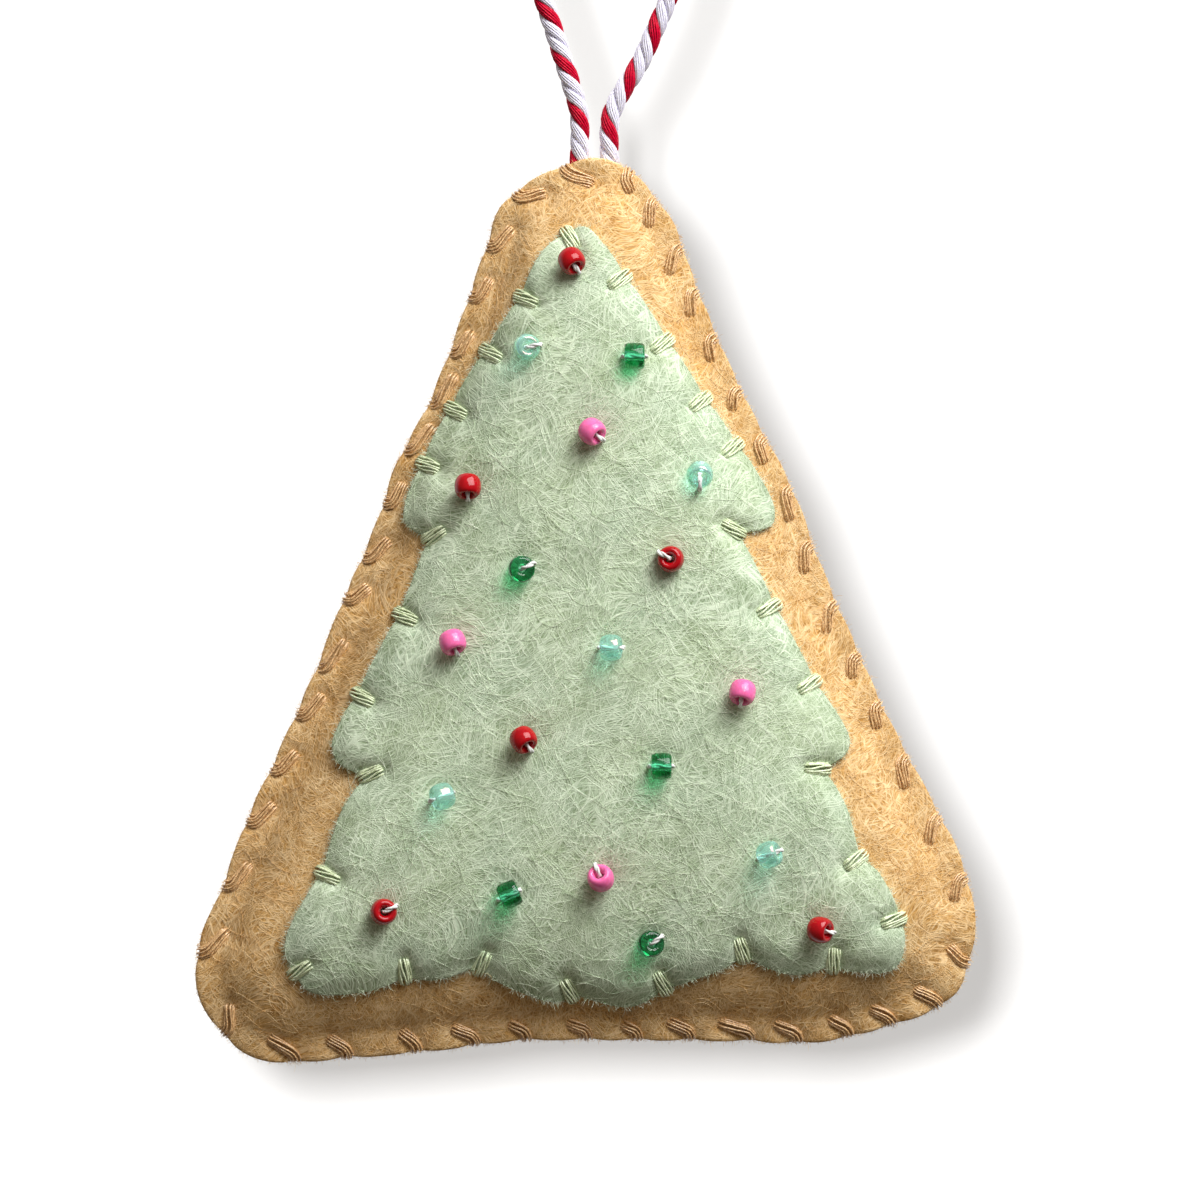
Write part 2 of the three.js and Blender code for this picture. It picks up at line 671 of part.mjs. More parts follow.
// One length of floss: up beside the tree's edge, over it, and down through the tree to the inside
function treeThread() {
  const points = [];
  treeStitches.forEach(({ inner, outer }) => {
    const top = Math.max(treeTopDepth(inner), treeTopDepth(outer)) + clearance + treeFlossRadius;
    points.push(inPlane(outer, front * treeTravelDepth(outer)));
    points.push(inPlane(outer, front * top));
    points.push(inPlane(inner, front * top));
    points.push(inPlane(inner, front * treeTravelDepth(inner)));
  });
  return tubeThrough(points, treeFlossRadius, flossSides);
}

// One length of thread: up through the felts, through the bead's bore, and down again to the inside
function beadThread() {
  const points = [];
  beadCorners.forEach((corners) => {
    const [rise, sink] = [corners[0], corners.at(-1)].map(({ x, z }) => new THREE.Vector2(x, z));
    points.push(inPlane(rise, front * beadTravelDepth(rise)));
    points.push(...corners);
    points.push(inPlane(sink, front * beadTravelDepth(sink)));
  });
  return tubeThrough(points, beadThreadRadius, beadThreadSides);
}

function bead() {
  const boreRadius = beadBore / 2;
  const crownRadius = (boreRadius + 2 * beadRadius) / 3;
  const half = beadLength / 2;
  const profile = [
    new THREE.Vector2(boreRadius, -half * beadLipShare),
    new THREE.Vector2(crownRadius, -half),
    new THREE.Vector2(beadRadius, -half / 2),
    new THREE.Vector2(beadRadius, half / 2),
    new THREE.Vector2(crownRadius, half),
    new THREE.Vector2(boreRadius, half * beadLipShare),
    new THREE.Vector2(boreRadius, -half * beadLipShare),
  ];
  return new THREE.LatheGeometry(profile, beadSegments);
}

function hangerLoop() {
  const route = loopRoute.map(([across, up]) => new THREE.Vector3(across, 0, rimLevel + up));
  const settings = {
    steps: twineSteps,
    extrudePath: new THREE.CatmullRomCurve3(route, false, 'centripetal'),
    bevelEnabled: false,
  };
  return new THREE.ExtrudeGeometry(polygon(twineRadius, twineSides), settings);
}

// The assembly

const ornament = new THREE.Group();

function addPiece(name, geometry, finish, parent = ornament) {
  const piece = new THREE.Mesh(geometry, new THREE.MeshStandardMaterial(finish));
  piece.name = name;
  parent.add(piece);
  return piece;
}

function addBeads() {
  const group = new THREE.Group();
  const counts = {};
  beads.forEach(({ glass }, k) => {
    counts[glass] = (counts[glass] ?? 0) + 1;
    const piece = addPiece(`${glass}_bead_${counts[glass]}`, bead(), beadGlass[glass], group);
    piece.position.copy(beadPlaces[k].centre);
    piece.quaternion.setFromUnitVectors(new THREE.Vector3(0, 1, 0), beadPlaces[k].axis.clone().normalize());
  });
  ornament.add(group);
}

addPiece('hanger_loop', hangerLoop(), twineYarn);
addPiece('hanger_knot', hangerKnot(), twineYarn);
addPiece('front_panel', frontPanel(), tanFelt);
addPiece('back_panel', backPanel(), tanFelt);
addPiece('stuffing', stuffing(), whiteFilling);
addPiece('tree_applique', treeApplique(), mintFelt);
addPiece('edge_thread', edgeThread(), tanFloss);
addPiece('tree_thread', treeThread(), greenFloss);
addPiece('bead_thread', beadThread(), whiteThread);
addBeads();

export default ornament;
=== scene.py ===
import logging
import math
from collections.abc import Iterable, Mapping, Sequence
from dataclasses import dataclass, field
from enum import Enum, IntEnum
from typing import Any

import bmesh
import bpy
import numpy as np
from mathutils import Matrix, Vector, noise
from mathutils.bvhtree import BVHTree
from mathutils.kdtree import KDTree


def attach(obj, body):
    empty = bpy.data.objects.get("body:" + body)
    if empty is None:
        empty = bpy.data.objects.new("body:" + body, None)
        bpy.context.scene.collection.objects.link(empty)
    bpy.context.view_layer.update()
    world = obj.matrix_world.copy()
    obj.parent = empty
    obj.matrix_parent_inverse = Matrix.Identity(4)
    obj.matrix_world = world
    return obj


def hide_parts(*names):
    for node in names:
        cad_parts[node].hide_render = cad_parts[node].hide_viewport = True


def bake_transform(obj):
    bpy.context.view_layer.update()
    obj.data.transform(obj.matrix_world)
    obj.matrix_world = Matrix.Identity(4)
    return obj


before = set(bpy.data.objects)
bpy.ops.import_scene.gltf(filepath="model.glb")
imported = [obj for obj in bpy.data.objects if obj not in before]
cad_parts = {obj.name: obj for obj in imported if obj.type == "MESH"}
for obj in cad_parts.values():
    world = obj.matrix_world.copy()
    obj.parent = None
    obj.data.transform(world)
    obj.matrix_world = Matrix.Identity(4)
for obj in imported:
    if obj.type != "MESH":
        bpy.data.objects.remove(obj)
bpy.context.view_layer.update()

LOG = logging.getLogger("ornament")
Colour = tuple[float, float, float, float]
Points = np.ndarray

MM = 0.001
TINY = 1e-12
WHITE = (1.0, 1.0, 1.0, 1.0)
GLASS_IOR = 1.5

# The numbers of the Mix node's sockets for colours
MIX_FIRST, MIX_SECOND, MIX_RESULT = 6, 7, 2

# Between which values noise goes from one colour to the other: over patches, and along fine streaks
PATCH_SPREAD = (0.35, 0.65)
STREAK_SPREAD = (0.3, 0.6)

# The cookie and the places on it, in shares of its width from the middle line and of its height

COOKIE_SHARES = [
    (-0.003, 1), (0.045, 0.988), (0.076, 0.96), (0.103, 0.926), (0.125, 0.874), (0.161, 0.796),
    (0.207, 0.712), (0.254, 0.635), (0.29, 0.551), (0.332, 0.467), (0.38, 0.376), (0.432, 0.291),
    (0.469, 0.227), (0.488, 0.152), (0.469, 0.084), (0.442, 0.061), (0.387, 0.042), (0.289, 0.022),
    (0.171, 0.023), (0.034, 0.024), (-0.099, 0.023), (-0.198, 0.013), (-0.316, 0.004), (-0.413, 0),
    (-0.46, 0.017), (-0.506, 0.071), (-0.508, 0.128), (-0.48, 0.189), (-0.446, 0.268), (-0.401, 0.352),
    (-0.357, 0.437), (-0.323, 0.511), (-0.28, 0.597), (-0.254, 0.663), (-0.214, 0.728), (-0.177, 0.809),
    (-0.139, 0.904), (-0.12, 0.947), (-0.08, 0.976),
]

TREE_RUN_SHARES = [
    [
        (-0.214, 0.577), (-0.243, 0.597), (-0.242, 0.619), (-0.21, 0.685), (-0.162, 0.759),
        (-0.099, 0.843), (-0.067, 0.895), (-0.035, 0.918), (-0.012, 0.923), (0.013, 0.902),
        (0.081, 0.817), (0.139, 0.74), (0.207, 0.654), (0.23, 0.613), (0.227, 0.594), (0.186, 0.583),
    ],
    [(0.186, 0.583), (0.229, 0.511), (0.28, 0.427), (0.326, 0.358), (0.321, 0.342), (0.295, 0.325)],
    [
        (0.295, 0.325), (0.321, 0.284), (0.34, 0.233), (0.366, 0.207), (0.396, 0.146), (0.387, 0.108),
        (0.367, 0.1), (0.296, 0.105),
    ],
    [(0.296, 0.105), (0.254, 0.098), (0.191, 0.116)],
    [(0.191, 0.116), (0.156, 0.102), (0.093, 0.081), (0.045, 0.062), (-0.022, 0.074)],
    [(-0.022, 0.074), (-0.049, 0.067), (-0.116, 0.087), (-0.154, 0.105)],
    [(-0.154, 0.105), (-0.198, 0.093), (-0.241, 0.093)],
    [
        (-0.241, 0.093), (-0.295, 0.079), (-0.366, 0.081), (-0.395, 0.128), (-0.346, 0.22),
        (-0.323, 0.278), (-0.295, 0.316),
    ],
    [(-0.295, 0.316), (-0.327, 0.332), (-0.335, 0.352), (-0.291, 0.43), (-0.243, 0.511), (-0.214, 0.577)],
]

# Whip stitches round the rim, clockwise from the top: rim end, then needle hole
EDGE_STITCH_SHARES = [
    (-0.041, 0.994, -0.003, 0.968), (0.046, 0.986, 0.043, 0.963), (0.079, 0.954, 0.066, 0.924),
    (0.108, 0.899, 0.092, 0.873), (0.131, 0.852, 0.119, 0.827), (0.152, 0.799, 0.146, 0.778),
    (0.186, 0.743, 0.173, 0.723), (0.214, 0.687, 0.215, 0.664), (0.25, 0.632, 0.249, 0.601),
    (0.276, 0.57, 0.265, 0.544), (0.304, 0.504, 0.293, 0.477), (0.334, 0.447, 0.326, 0.428),
    (0.363, 0.394, 0.36, 0.373), (0.399, 0.336, 0.394, 0.304), (0.436, 0.268, 0.424, 0.243),
    (0.476, 0.205, 0.456, 0.181), (0.481, 0.108, 0.451, 0.128), (0.437, 0.067, 0.41, 0.084),
    (0.38, 0.044, 0.355, 0.062), (0.325, 0.033, 0.304, 0.051), (0.258, 0.023, 0.234, 0.045),
    (0.199, 0.027, 0.163, 0.047), (0.121, 0.029, 0.097, 0.047), (0.053, 0.029, 0.038, 0.044),
    (-0.01, 0.027, -0.031, 0.045), (-0.088, 0.029, -0.107, 0.045), (-0.153, 0.022, -0.179, 0.041),
    (-0.229, 0.017, -0.245, 0.036), (-0.317, 0.015, -0.339, 0.03), (-0.383, 0.007, -0.413, 0.03),
    (-0.478, 0.03, -0.462, 0.064), (-0.504, 0.122, -0.468, 0.142), (-0.478, 0.198, -0.439, 0.217),
    (-0.445, 0.268, -0.409, 0.282), (-0.412, 0.326, -0.38, 0.34), (-0.382, 0.387, -0.346, 0.403),
    (-0.354, 0.438, -0.317, 0.463), (-0.318, 0.513, -0.287, 0.523), (-0.294, 0.56, -0.262, 0.575),
    (-0.268, 0.619, -0.25, 0.64), (-0.24, 0.678, -0.214, 0.705), (-0.213, 0.731, -0.186, 0.76),
    (-0.184, 0.787, -0.158, 0.805), (-0.159, 0.846, -0.132, 0.863), (-0.138, 0.904, -0.104, 0.919),
    (-0.099, 0.96, -0.064, 0.958),
]

# Overcast stitches round the tree, clockwise from its tip
TREE_STITCH_SHARES = [
    (-0.03, 0.908), (0.025, 0.86), (0.083, 0.792), (0.133, 0.729), (0.167, 0.674), (0.168, 0.593),
    (0.22, 0.501), (0.268, 0.415), (0.276, 0.326), (0.336, 0.227), (0.375, 0.157), (0.305, 0.116),
    (0.186, 0.133), (0.084, 0.095), (-0.034, 0.085), (-0.138, 0.121), (-0.243, 0.113), (-0.371, 0.106),
    (-0.332, 0.205), (-0.28, 0.321), (-0.287, 0.4), (-0.235, 0.49), (-0.19, 0.588), (-0.208, 0.658),
    (-0.175, 0.719), (-0.127, 0.78), (-0.086, 0.842),
]

# The twine's left tail inside the seam: millimetres across, back and above the rim
TAIL_ROUTE = [(-1.95, 1.0, -9.2), (-1.6, 0.55, -5.0), (-1.32, 0.05, 0.8)]

# The free twine, from the left tail up over the hook and down to the right tail: millimetres across,
# and above the rim
LOOP_ROUTE = [
    (-1.3, 2.65), (-1.4, 4.2), (-1.9, 6), (-2.6, 8.2), (-3.5, 11), (-4.5, 14), (-6.3, 20), (-8.2, 27),
    (-9.6, 35), (-10.1, 43), (-9.6, 51), (-8.2, 57.5), (-5.9, 62.7), (-3.2, 65.8), (0, 66.85), (3.4, 65.8),
    (6.4, 62.6), (9, 57.2), (10.7, 51), (11.4, 43), (11.2, 35), (10.2, 27), (8.4, 20), (6.5, 14), (5.2, 11),
    (3.9, 8.2), (2.5, 6), (1.6, 4.2), (1.3, 2.65),
]


class Side(IntEnum):
    """The cookie's two sides, each as the way that it faces along Y."""

    FRONT = -1
    BACK = 1


class Glass(Enum):
    """The four glasses of the beads."""

    RED = "red"
    AQUA = "aqua"
    GREEN = "green"
    PINK = "pink"


@dataclass(frozen=True)
class BeadPlace:
    """Where a bead sits: its place in shares, and its bore's lean to the viewer and turn in degrees."""

    glass: Glass
    across: float
    up: float
    lean: float
    turn: float


BEADS = [
    BeadPlace(Glass.RED, -0.029, 0.884, 38, -58), BeadPlace(Glass.AQUA, -0.086, 0.789, 80, 10),
    BeadPlace(Glass.GREEN, 0.051, 0.779, 0, 0), BeadPlace(Glass.PINK, -0.003, 0.696, 35, -38),
    BeadPlace(Glass.AQUA, 0.134, 0.649, 72, -90), BeadPlace(Glass.RED, 0.097, 0.556, 80, 150),
    BeadPlace(Glass.GREEN, -0.093, 0.545, 80, 25), BeadPlace(Glass.RED, -0.161, 0.636, 28, -90),
    BeadPlace(Glass.PINK, -0.18, 0.465, 25, -70), BeadPlace(Glass.AQUA, 0.021, 0.459, 10, 0),
    BeadPlace(Glass.PINK, 0.188, 0.41, 30, -100), BeadPlace(Glass.GREEN, 0.085, 0.329, 0, 0),
    BeadPlace(Glass.RED, -0.09, 0.358, 35, -55), BeadPlace(Glass.AQUA, -0.193, 0.296, 20, 200),
    BeadPlace(Glass.RED, -0.268, 0.169, 78, 25), BeadPlace(Glass.GREEN, -0.108, 0.188, 0, 24),
    BeadPlace(Glass.PINK, 0.008, 0.206, 55, 112), BeadPlace(Glass.GREEN, 0.071, 0.133, 75, 35),
    BeadPlace(Glass.AQUA, 0.222, 0.232, 20, 20), BeadPlace(Glass.RED, 0.287, 0.149, 35, -12),
]


# Shader arithmetic


class Wire:
    """A shader socket on which Python's arithmetic adds Math nodes."""

    def __init__(self, recipe: "Recipe", socket: bpy.types.NodeSocket) -> None:
        """Keeps the socket and the recipe that owns it."""
        self.recipe = recipe
        self.socket = socket

    def math(self, operation: str, *values: "Wire | float") -> "Wire":
        """Adds one Math node.

        Args:
            operation: the node's operation.
            values: what its sockets take, in order.

        Returns:
            The node's result.
        """
        return self.recipe.node("ShaderNodeMath", {"operation": operation}, dict(enumerate(values)))

    def __add__(self, other: "Wire | float") -> "Wire":
        """Adds."""
        return self.math("ADD", self, other)

    def __radd__(self, other: float) -> "Wire":
        """Adds to a number."""
        return self.math("ADD", other, self)

    def __sub__(self, other: "Wire | float") -> "Wire":
        """Subtracts."""
        return self.math("SUBTRACT", self, other)

    def __rsub__(self, other: float) -> "Wire":
        """Subtracts from a number."""
        return self.math("SUBTRACT", other, self)

    def __mul__(self, other: "Wire | float") -> "Wire":
        """Multiplies."""
        return self.math("MULTIPLY", self, other)

    def __rmul__(self, other: float) -> "Wire":
        """Multiplies a number."""
        return self.math("MULTIPLY", other, self)

    def larger(self, other: "Wire | float") -> "Wire":
        """Takes the larger of two values."""
        return self.math("MAXIMUM", self, other)

    def between(self, low: float, high: float) -> "Wire":
        """Rises from 0 at low to 1 at high, and stays there.

        Args:
            low: the value that gives 0.
            high: the value that gives 1.

        Returns:
            The share, held between 0 and 1.
        """
        return self.recipe.node(
            "ShaderNodeMapRange", {"clamp": True}, {"Value": self, "From Min": low, "From Max": high},
        )


class Recipe:
    """The nodes of a material or a world under construction."""

    def __init__(self, owner: bpy.types.Material | bpy.types.World, output: str) -> None:
        """Empties the owner's node tree and gives it an output of that type."""
        self.owner = owner
        self.owner.use_nodes = True
        self.tree = owner.node_tree
        self.tree.nodes.clear()
        self.output = self.tree.nodes.new(output)

    @classmethod
    def material(cls, name: str) -> "Recipe":
        """Starts a material."""
        return cls(bpy.data.materials.new(name), "ShaderNodeOutputMaterial")

    @classmethod
    def world(cls, name: str) -> "Recipe":
        """Starts a world."""
        return cls(bpy.data.worlds.new(name), "ShaderNodeOutputWorld")

    def node(
        self,
        kind: str,
        settings: Mapping[str, Any] | None = None,
        values: Mapping[str | int, Any] | None = None,
        result: str | int = 0,
    ) -> Wire:
        """Adds one node.

        Args:
            kind: the node's type.
            settings: its settings, such as an operation or a ramp's stops.
            values: numbers, colours or wires for its sockets.
            result: the output socket that is wanted.

        Returns:
            That output.
        """
        made = self.tree.nodes.new(kind)
        for name, value in (settings or {}).items():
            if name == "stops":
                self.set_stops(made.color_ramp, value)
            else:
                setattr(made, name, value)
        for key, value in (values or {}).items():
            if isinstance(value, Wire):
                self.tree.links.new(value.socket, made.inputs[key])
            else:
                made.inputs[key].default_value = value
        return Wire(self, made.outputs[result])

    @staticmethod
    def set_stops(ramp: bpy.types.ColorRamp, stops: Sequence[tuple[float, Colour]]) -> None:
        """Sets a ramp's stops.

        Args:
            ramp: the ramp, which starts with two stops.
            stops: places and colours in order.
        """
        while len(ramp.elements) < len(stops):
            ramp.elements.new(1)
        for element, (place, colour) in zip(ramp.elements, stops):
            element.position, element.color = place, colour

    def place_mm(self) -> Wire:
        """Gives the place on the piece in millimetres."""
        place = self.node("ShaderNodeTexCoord", result="Object")
        return self.node("ShaderNodeVectorMath", {"operation": "SCALE"}, {0: place, "Scale": 1 / MM})

    def vector(self, operation: str, *values: Any) -> Wire:
        """Adds a Vector Math node on these values."""
        return self.node("ShaderNodeVectorMath", {"operation": operation}, dict(enumerate(values)))

    def mix(self, first: Any, second: Any, factor: Wire | float) -> Wire:
        """Mixes two colours.

        Args:
            first: the colour at factor 0.
            second: the colour at factor 1.
            factor: how much of the second shows.

        Returns:
            The mixed colour.
        """
        values = {0: factor, MIX_FIRST: first, MIX_SECOND: second}
        return self.node("ShaderNodeMix", {"data_type": "RGBA"}, values, MIX_RESULT)

    def grain(
        self, place: Wire, size_mm: float, detail: float = 2.0, roughness: float = 0.6, result: str | int = 0,
    ) -> Wire:
        """Adds noise.

        Args:
            place: where on the piece, in millimetres.
            size_mm: about how wide its lumps are.
            detail: how many finer layers it has.
            roughness: how strongly these show.
            result: the output socket that is wanted.

        Returns:
            That output.
        """
        values = {"Vector": place, "Scale": 1 / size_mm, "Detail": detail, "Roughness": roughness}
        return self.node("ShaderNodeTexNoise", None, values, result)

    def bump(self, height_mm: Wire, strength: float) -> Wire:
        """Turns a height in millimetres into a normal."""
        values = {"Height": height_mm, "Strength": strength, "Distance": MM}
        return self.node("ShaderNodeBump", None, values)

    def principled(self, **values: Any) -> Wire:
        """Adds the main shader, with underscores for the spaces of its sockets' names."""
        named = {name.replace("_", " "): value for name, value in values.items()}
        return self.node("ShaderNodeBsdfPrincipled", None, named)

    def done(self, surface: Wire, volume: Wire | None = None) -> Any:
        """Ends the tree with these shaders and returns the material or world."""
        self.tree.links.new(surface.socket, self.output.inputs["Surface"])
        if volume is not None:
            self.tree.links.new(volume.socket, self.output.inputs["Volume"])
        return self.owner


# Finishes


@dataclass(frozen=True)
class FeltFinish:
    """Pressed wool felt: layer on layer of fine fibres, pale over deep; the pale top fibres are partly paler
    wool and partly painted light, and the dark gaps between them are painted shade.
    """

    name: str
    # The first colour is painted shade for the gaps between the fibres; the last is the top fibres' paler
    # wool with painted light on it
    painted_gap_shade: Colour
    body: Colour
    fibre: Colour
    fibre_length_mm: float
    curl_mm: float
    fibre_width_mm: float = 0.115
    fibre_spread: tuple[float, float] = (0.48, 0.69)
    under_turns: tuple[float, ...] = (0.1, 1.4, 2.5)
    over_turns: tuple[float, ...] = (-0.5, 0.7, 1.9)
    swirl_size_mm: float = 9.0
    swirl_mm: float = 7.0
    curl_size_mm: float = 1.5
    matting_mm: float = 0.25
    cloud_mm: float = 3.0
    patch_mm: float = 6.0
    patch_tint: Colour = (0.90, 0.93, 1.0, 1)
    # How much of the body colour shows over the painted gap shade, and how far that share is lowered
    depth_weights: tuple[float, ...] = (0.7, 0.5, 0.5)
    depth_lowered: float = 0.25
    shown_weights: tuple[float, ...] = (0.9, 0.5)
    shown_lowered: float = 0.1
    fullest: float = 0.8
    height_weights: tuple[float, ...] = (0.7, 0.5, 0.5)
    relief_mm: float = 0.045
    relief_strength: float = 0.9

    def layer(self, recipe: Recipe, place: Wire, turn: float) -> Wire:
        """Draws one layer of fibres that run mostly one way.

        Args:
            recipe: the material.
            place: where on the piece, already swirled, in millimetres.
            turn: the layer's direction in radians.

        Returns:
            1 on a fibre and 0 beside it.
        """
        turned = recipe.node(
            "ShaderNodeVectorRotate", {"rotation_type": "Y_AXIS"}, {"Vector": place, "Angle": turn},
        )
        drawn_out = (1 / self.fibre_width_mm, 1 / self.fibre_length_mm, 1 / self.fibre_length_mm)
        stretched = recipe.vector("MULTIPLY", turned, drawn_out)
        values = {"Vector": stretched, "Scale": 1.0, "Detail": 1.0}
        return recipe.node("ShaderNodeTexNoise", None, values).between(*self.fibre_spread)

    def layers(self, recipe: Recipe, place: Wire, turns: Sequence[float]) -> Wire:
        """Lays fibres of several directions over each other."""
        laid = self.layer(recipe, place, turns[0])
        for turn in turns[1:]:
            laid = laid.larger(self.layer(recipe, place, turn))
        return laid

    def drift(self, recipe: Recipe, place: Wire, size_mm: float, reach_mm: float) -> Wire:
        """Shifts places by smooth noise of that size and reach."""
        cloud = recipe.grain(place, size_mm, detail=1.0, result="Color")
        centred = recipe.vector("SUBTRACT", cloud, (0.5,) * 3)
        return recipe.vector("ADD", place, recipe.vector("MULTIPLY", centred, (reach_mm,) * 3))

    @staticmethod
    def weighed(parts: Sequence[Wire], weights: Sequence[float]) -> Wire:
        """Adds up values, each times its weight."""
        total = parts[0] * weights[0]
        for part, weight in zip(parts[1:], weights[1:]):
            total = total + part * weight
        return total

    def make(self) -> bpy.types.Material:
        """Builds the material."""
        recipe = Recipe.material(self.name)
        place = recipe.place_mm()
        swirled = self.drift(recipe, place, self.swirl_size_mm, self.swirl_mm)
        curled = self.drift(recipe, swirled, self.curl_size_mm, self.curl_mm)
        under = self.layers(recipe, curled, self.under_turns)
        over = self.layers(recipe, curled, self.over_turns)
        matting = recipe.grain(place, self.matting_mm)
        clouds = recipe.grain(place, self.cloud_mm)
        patches = recipe.grain(place, self.patch_mm, detail=1.0).between(*PATCH_SPREAD)
        depth = self.weighed((under, matting, clouds), self.depth_weights) - self.depth_lowered
        shown = over * (self.weighed((clouds, matting), self.shown_weights) - self.shown_lowered)
        cooler = tuple(part * share for part, share in zip(self.body, self.patch_tint))
        body = recipe.mix(self.body, cooler, patches)
        # Painted shade fills the gaps between the fibres, and painted light brightens the pale top fibres
        felt = recipe.mix(self.painted_gap_shade, body, depth.between(0.0, self.fullest))
        colour = recipe.mix(felt, self.fibre, shown.between(0.0, self.fullest))
        height = self.weighed((over, under, matting), self.height_weights) * self.relief_mm
        shader = recipe.principled(
            Base_Color=colour, Roughness=1.0, Normal=recipe.bump(height, self.relief_strength),
            Specular_IOR_Level=0.0,
        )
        return recipe.done(shader)


@dataclass(frozen=True)
class FibreFinish:
    """Loose wool fibres that stand off the felt."""

    name: str
    pale: Colour
    deep: Colour
    mottle_mm: float = 0.9
    roughness: float = 0.9

    def make(self) -> bpy.types.Material:
        """Builds the material."""
        recipe = Recipe.material(self.name)
        share = recipe.grain(recipe.place_mm(), self.mottle_mm, detail=1.0).between(*PATCH_SPREAD)
        shader = recipe.principled(
            Base_Color=recipe.mix(self.deep, self.pale, share), Roughness=self.roughness,
            Specular_IOR_Level=0.0,
        )
        return recipe.done(shader)


@dataclass(frozen=True)
class FlossFinish:
    """Floss or yarn: a soft shine over fine filaments, and a haze of fibre ends on the woolly ones."""

    name: str
    shade: Colour
    shadow: Colour
    roughness: float
    shine: float
    filament_mm: float = 0.17
    relief_mm: float = 0.05
    relief_strength: float = 0.6
    glow_through: float = 0.0
    glow_reach: float = 0.35 * MM
    glow_radius: tuple[float, float, float] = (1.0, 1.0, 1.15)
    haze: float = 0.0
    haze_tint: Colour = WHITE

    def make(self) -> bpy.types.Material:
        """Builds the material."""
        recipe = Recipe.material(self.name)
        filaments = recipe.grain(recipe.place_mm(), self.filament_mm)
        colour = recipe.mix(self.shadow, self.shade, filaments.between(*STREAK_SPREAD))
        shader = recipe.principled(
            Base_Color=colour, Roughness=self.roughness,
            Normal=recipe.bump(filaments * self.relief_mm, self.relief_strength),
            Specular_IOR_Level=self.shine, Subsurface_Weight=self.glow_through,
            Subsurface_Radius=self.glow_radius, Subsurface_Scale=self.glow_reach,
            Sheen_Weight=self.haze, Sheen_Tint=self.haze_tint,
        )
        return recipe.done(shader)


@dataclass(frozen=True)
class GlassFinish:
    """Opaque, glossy bead glass."""

    name: str
    colour: Colour
    roughness: float = 0.07
    milk: float = 0.0
    milk_reach: float = 0.4 * MM
    streak_mm: float = 0.5
    streak_shade: float = 0.82

    def make(self) -> bpy.types.Material:
        """Builds the material."""
        recipe = Recipe.material(self.name)
        streaks = recipe.grain(recipe.place_mm(), self.streak_mm).between(*STREAK_SPREAD)
        darker = tuple(self.streak_shade * part for part in self.colour[:3]) + (1.0,)
        shader = recipe.principled(
            Base_Color=recipe.mix(darker, self.colour, streaks),
            Roughness=self.roughness, IOR=GLASS_IOR, Specular_IOR_Level=0.5,
            Subsurface_Weight=self.milk, Subsurface_Scale=self.milk_reach,
        )
        return recipe.done(shader)


@dataclass(frozen=True)
class ClearGlassFinish:
    """Clear bead glass that tints what shines through it, with a pearly film on the lustred ones."""

    name: str
    colour: Colour
    veil: Colour
    absorbed: Colour
    density: float
    clear: float
    roughness: float = 0.03
    film_nm: float = 0.0
    film_ior: float = 1.9

    def make(self) -> bpy.types.Material:
        """Builds the material, which lets tinted light through onto the felt."""
        recipe = Recipe.material(self.name)
        body = recipe.principled(
            Base_Color=self.colour, Roughness=self.roughness, Transmission_Weight=self.clear,
            IOR=GLASS_IOR, Thin_Film_Thickness=self.film_nm, Thin_Film_IOR=self.film_ior,
        )
        veil = recipe.node("ShaderNodeBsdfTransparent", None, {"Color": self.veil})
        shadow_ray = recipe.node("ShaderNodeLightPath", result="Is Shadow Ray")
        shader = recipe.node("ShaderNodeMixShader", None, {0: shadow_ray, 1: body, 2: veil})
        tint = recipe.node(
            "ShaderNodeVolumeAbsorption", None, {"Color": self.absorbed, "Density": self.density},
        )
        return recipe.done(shader, tint)


@dataclass(frozen=True)
class BackdropFinish:
    """White paper that glows a little to the camera, keeps a soft shadow, and vanishes from behind."""

    name: str = "backdrop_paper"
    reflectance: float = 0.55
    glow: float = 0.46

    def make(self) -> bpy.types.Material:
        """Builds the material."""
        recipe = Recipe.material(self.name)
        shade = (self.reflectance,) * 3 + (1.0,)
        paper = recipe.node("ShaderNodeBsdfDiffuse", None, {"Color": shade})
        light = recipe.node("ShaderNodeLightPath", result="Is Camera Ray")
        glow = recipe.node("ShaderNodeEmission", None, {"Color": WHITE, "Strength": self.glow})
        glowing = recipe.node("ShaderNodeAddShader", None, {0: paper, 1: glow})
        seen = recipe.node("ShaderNodeMixShader", None, {0: light, 1: paper, 2: glowing})
        gone = recipe.node("ShaderNodeBsdfTransparent", None, {"Color": WHITE})
        behind = recipe.node("ShaderNodeNewGeometry", result="Backfacing")
        return recipe.done(recipe.node("ShaderNodeMixShader", None, {0: behind, 1: seen, 2: gone}))


TAN_FELT = FeltFinish(
    "tan_felt", painted_gap_shade=(0.29, 0.12, 0.018, 1), body=(0.69, 0.395, 0.135, 1), fibre=(0.94, 0.69, 0.385, 1),
    fibre_length_mm=1.25, curl_mm=0.45,
)
MINT_FELT = FeltFinish(
    "mint_felt", painted_gap_shade=(0.18, 0.25, 0.12, 1), body=(0.49, 0.59, 0.385, 1), fibre=(0.76, 0.86, 0.66, 1),
    fibre_length_mm=2.6, curl_mm=0.5,
)
TAN_FUZZ = FibreFinish("tan_fibre", pale=(1.0, 0.80, 0.47, 1), deep=(0.70, 0.42, 0.16, 1))
MINT_FUZZ = FibreFinish("mint_fibre", pale=(0.95, 1.0, 0.84, 1), deep=(0.60, 0.72, 0.50, 1))
FILLING = FibreFinish("filling_fibre", pale=(0.92, 0.91, 0.88, 1), deep=(0.8, 0.79, 0.75, 1))
TAN_FLOSS = FlossFinish(
    "tan_floss", shade=(0.93, 0.61, 0.30, 1), shadow=(0.34, 0.155, 0.045, 1), roughness=0.3, shine=1.0,
)
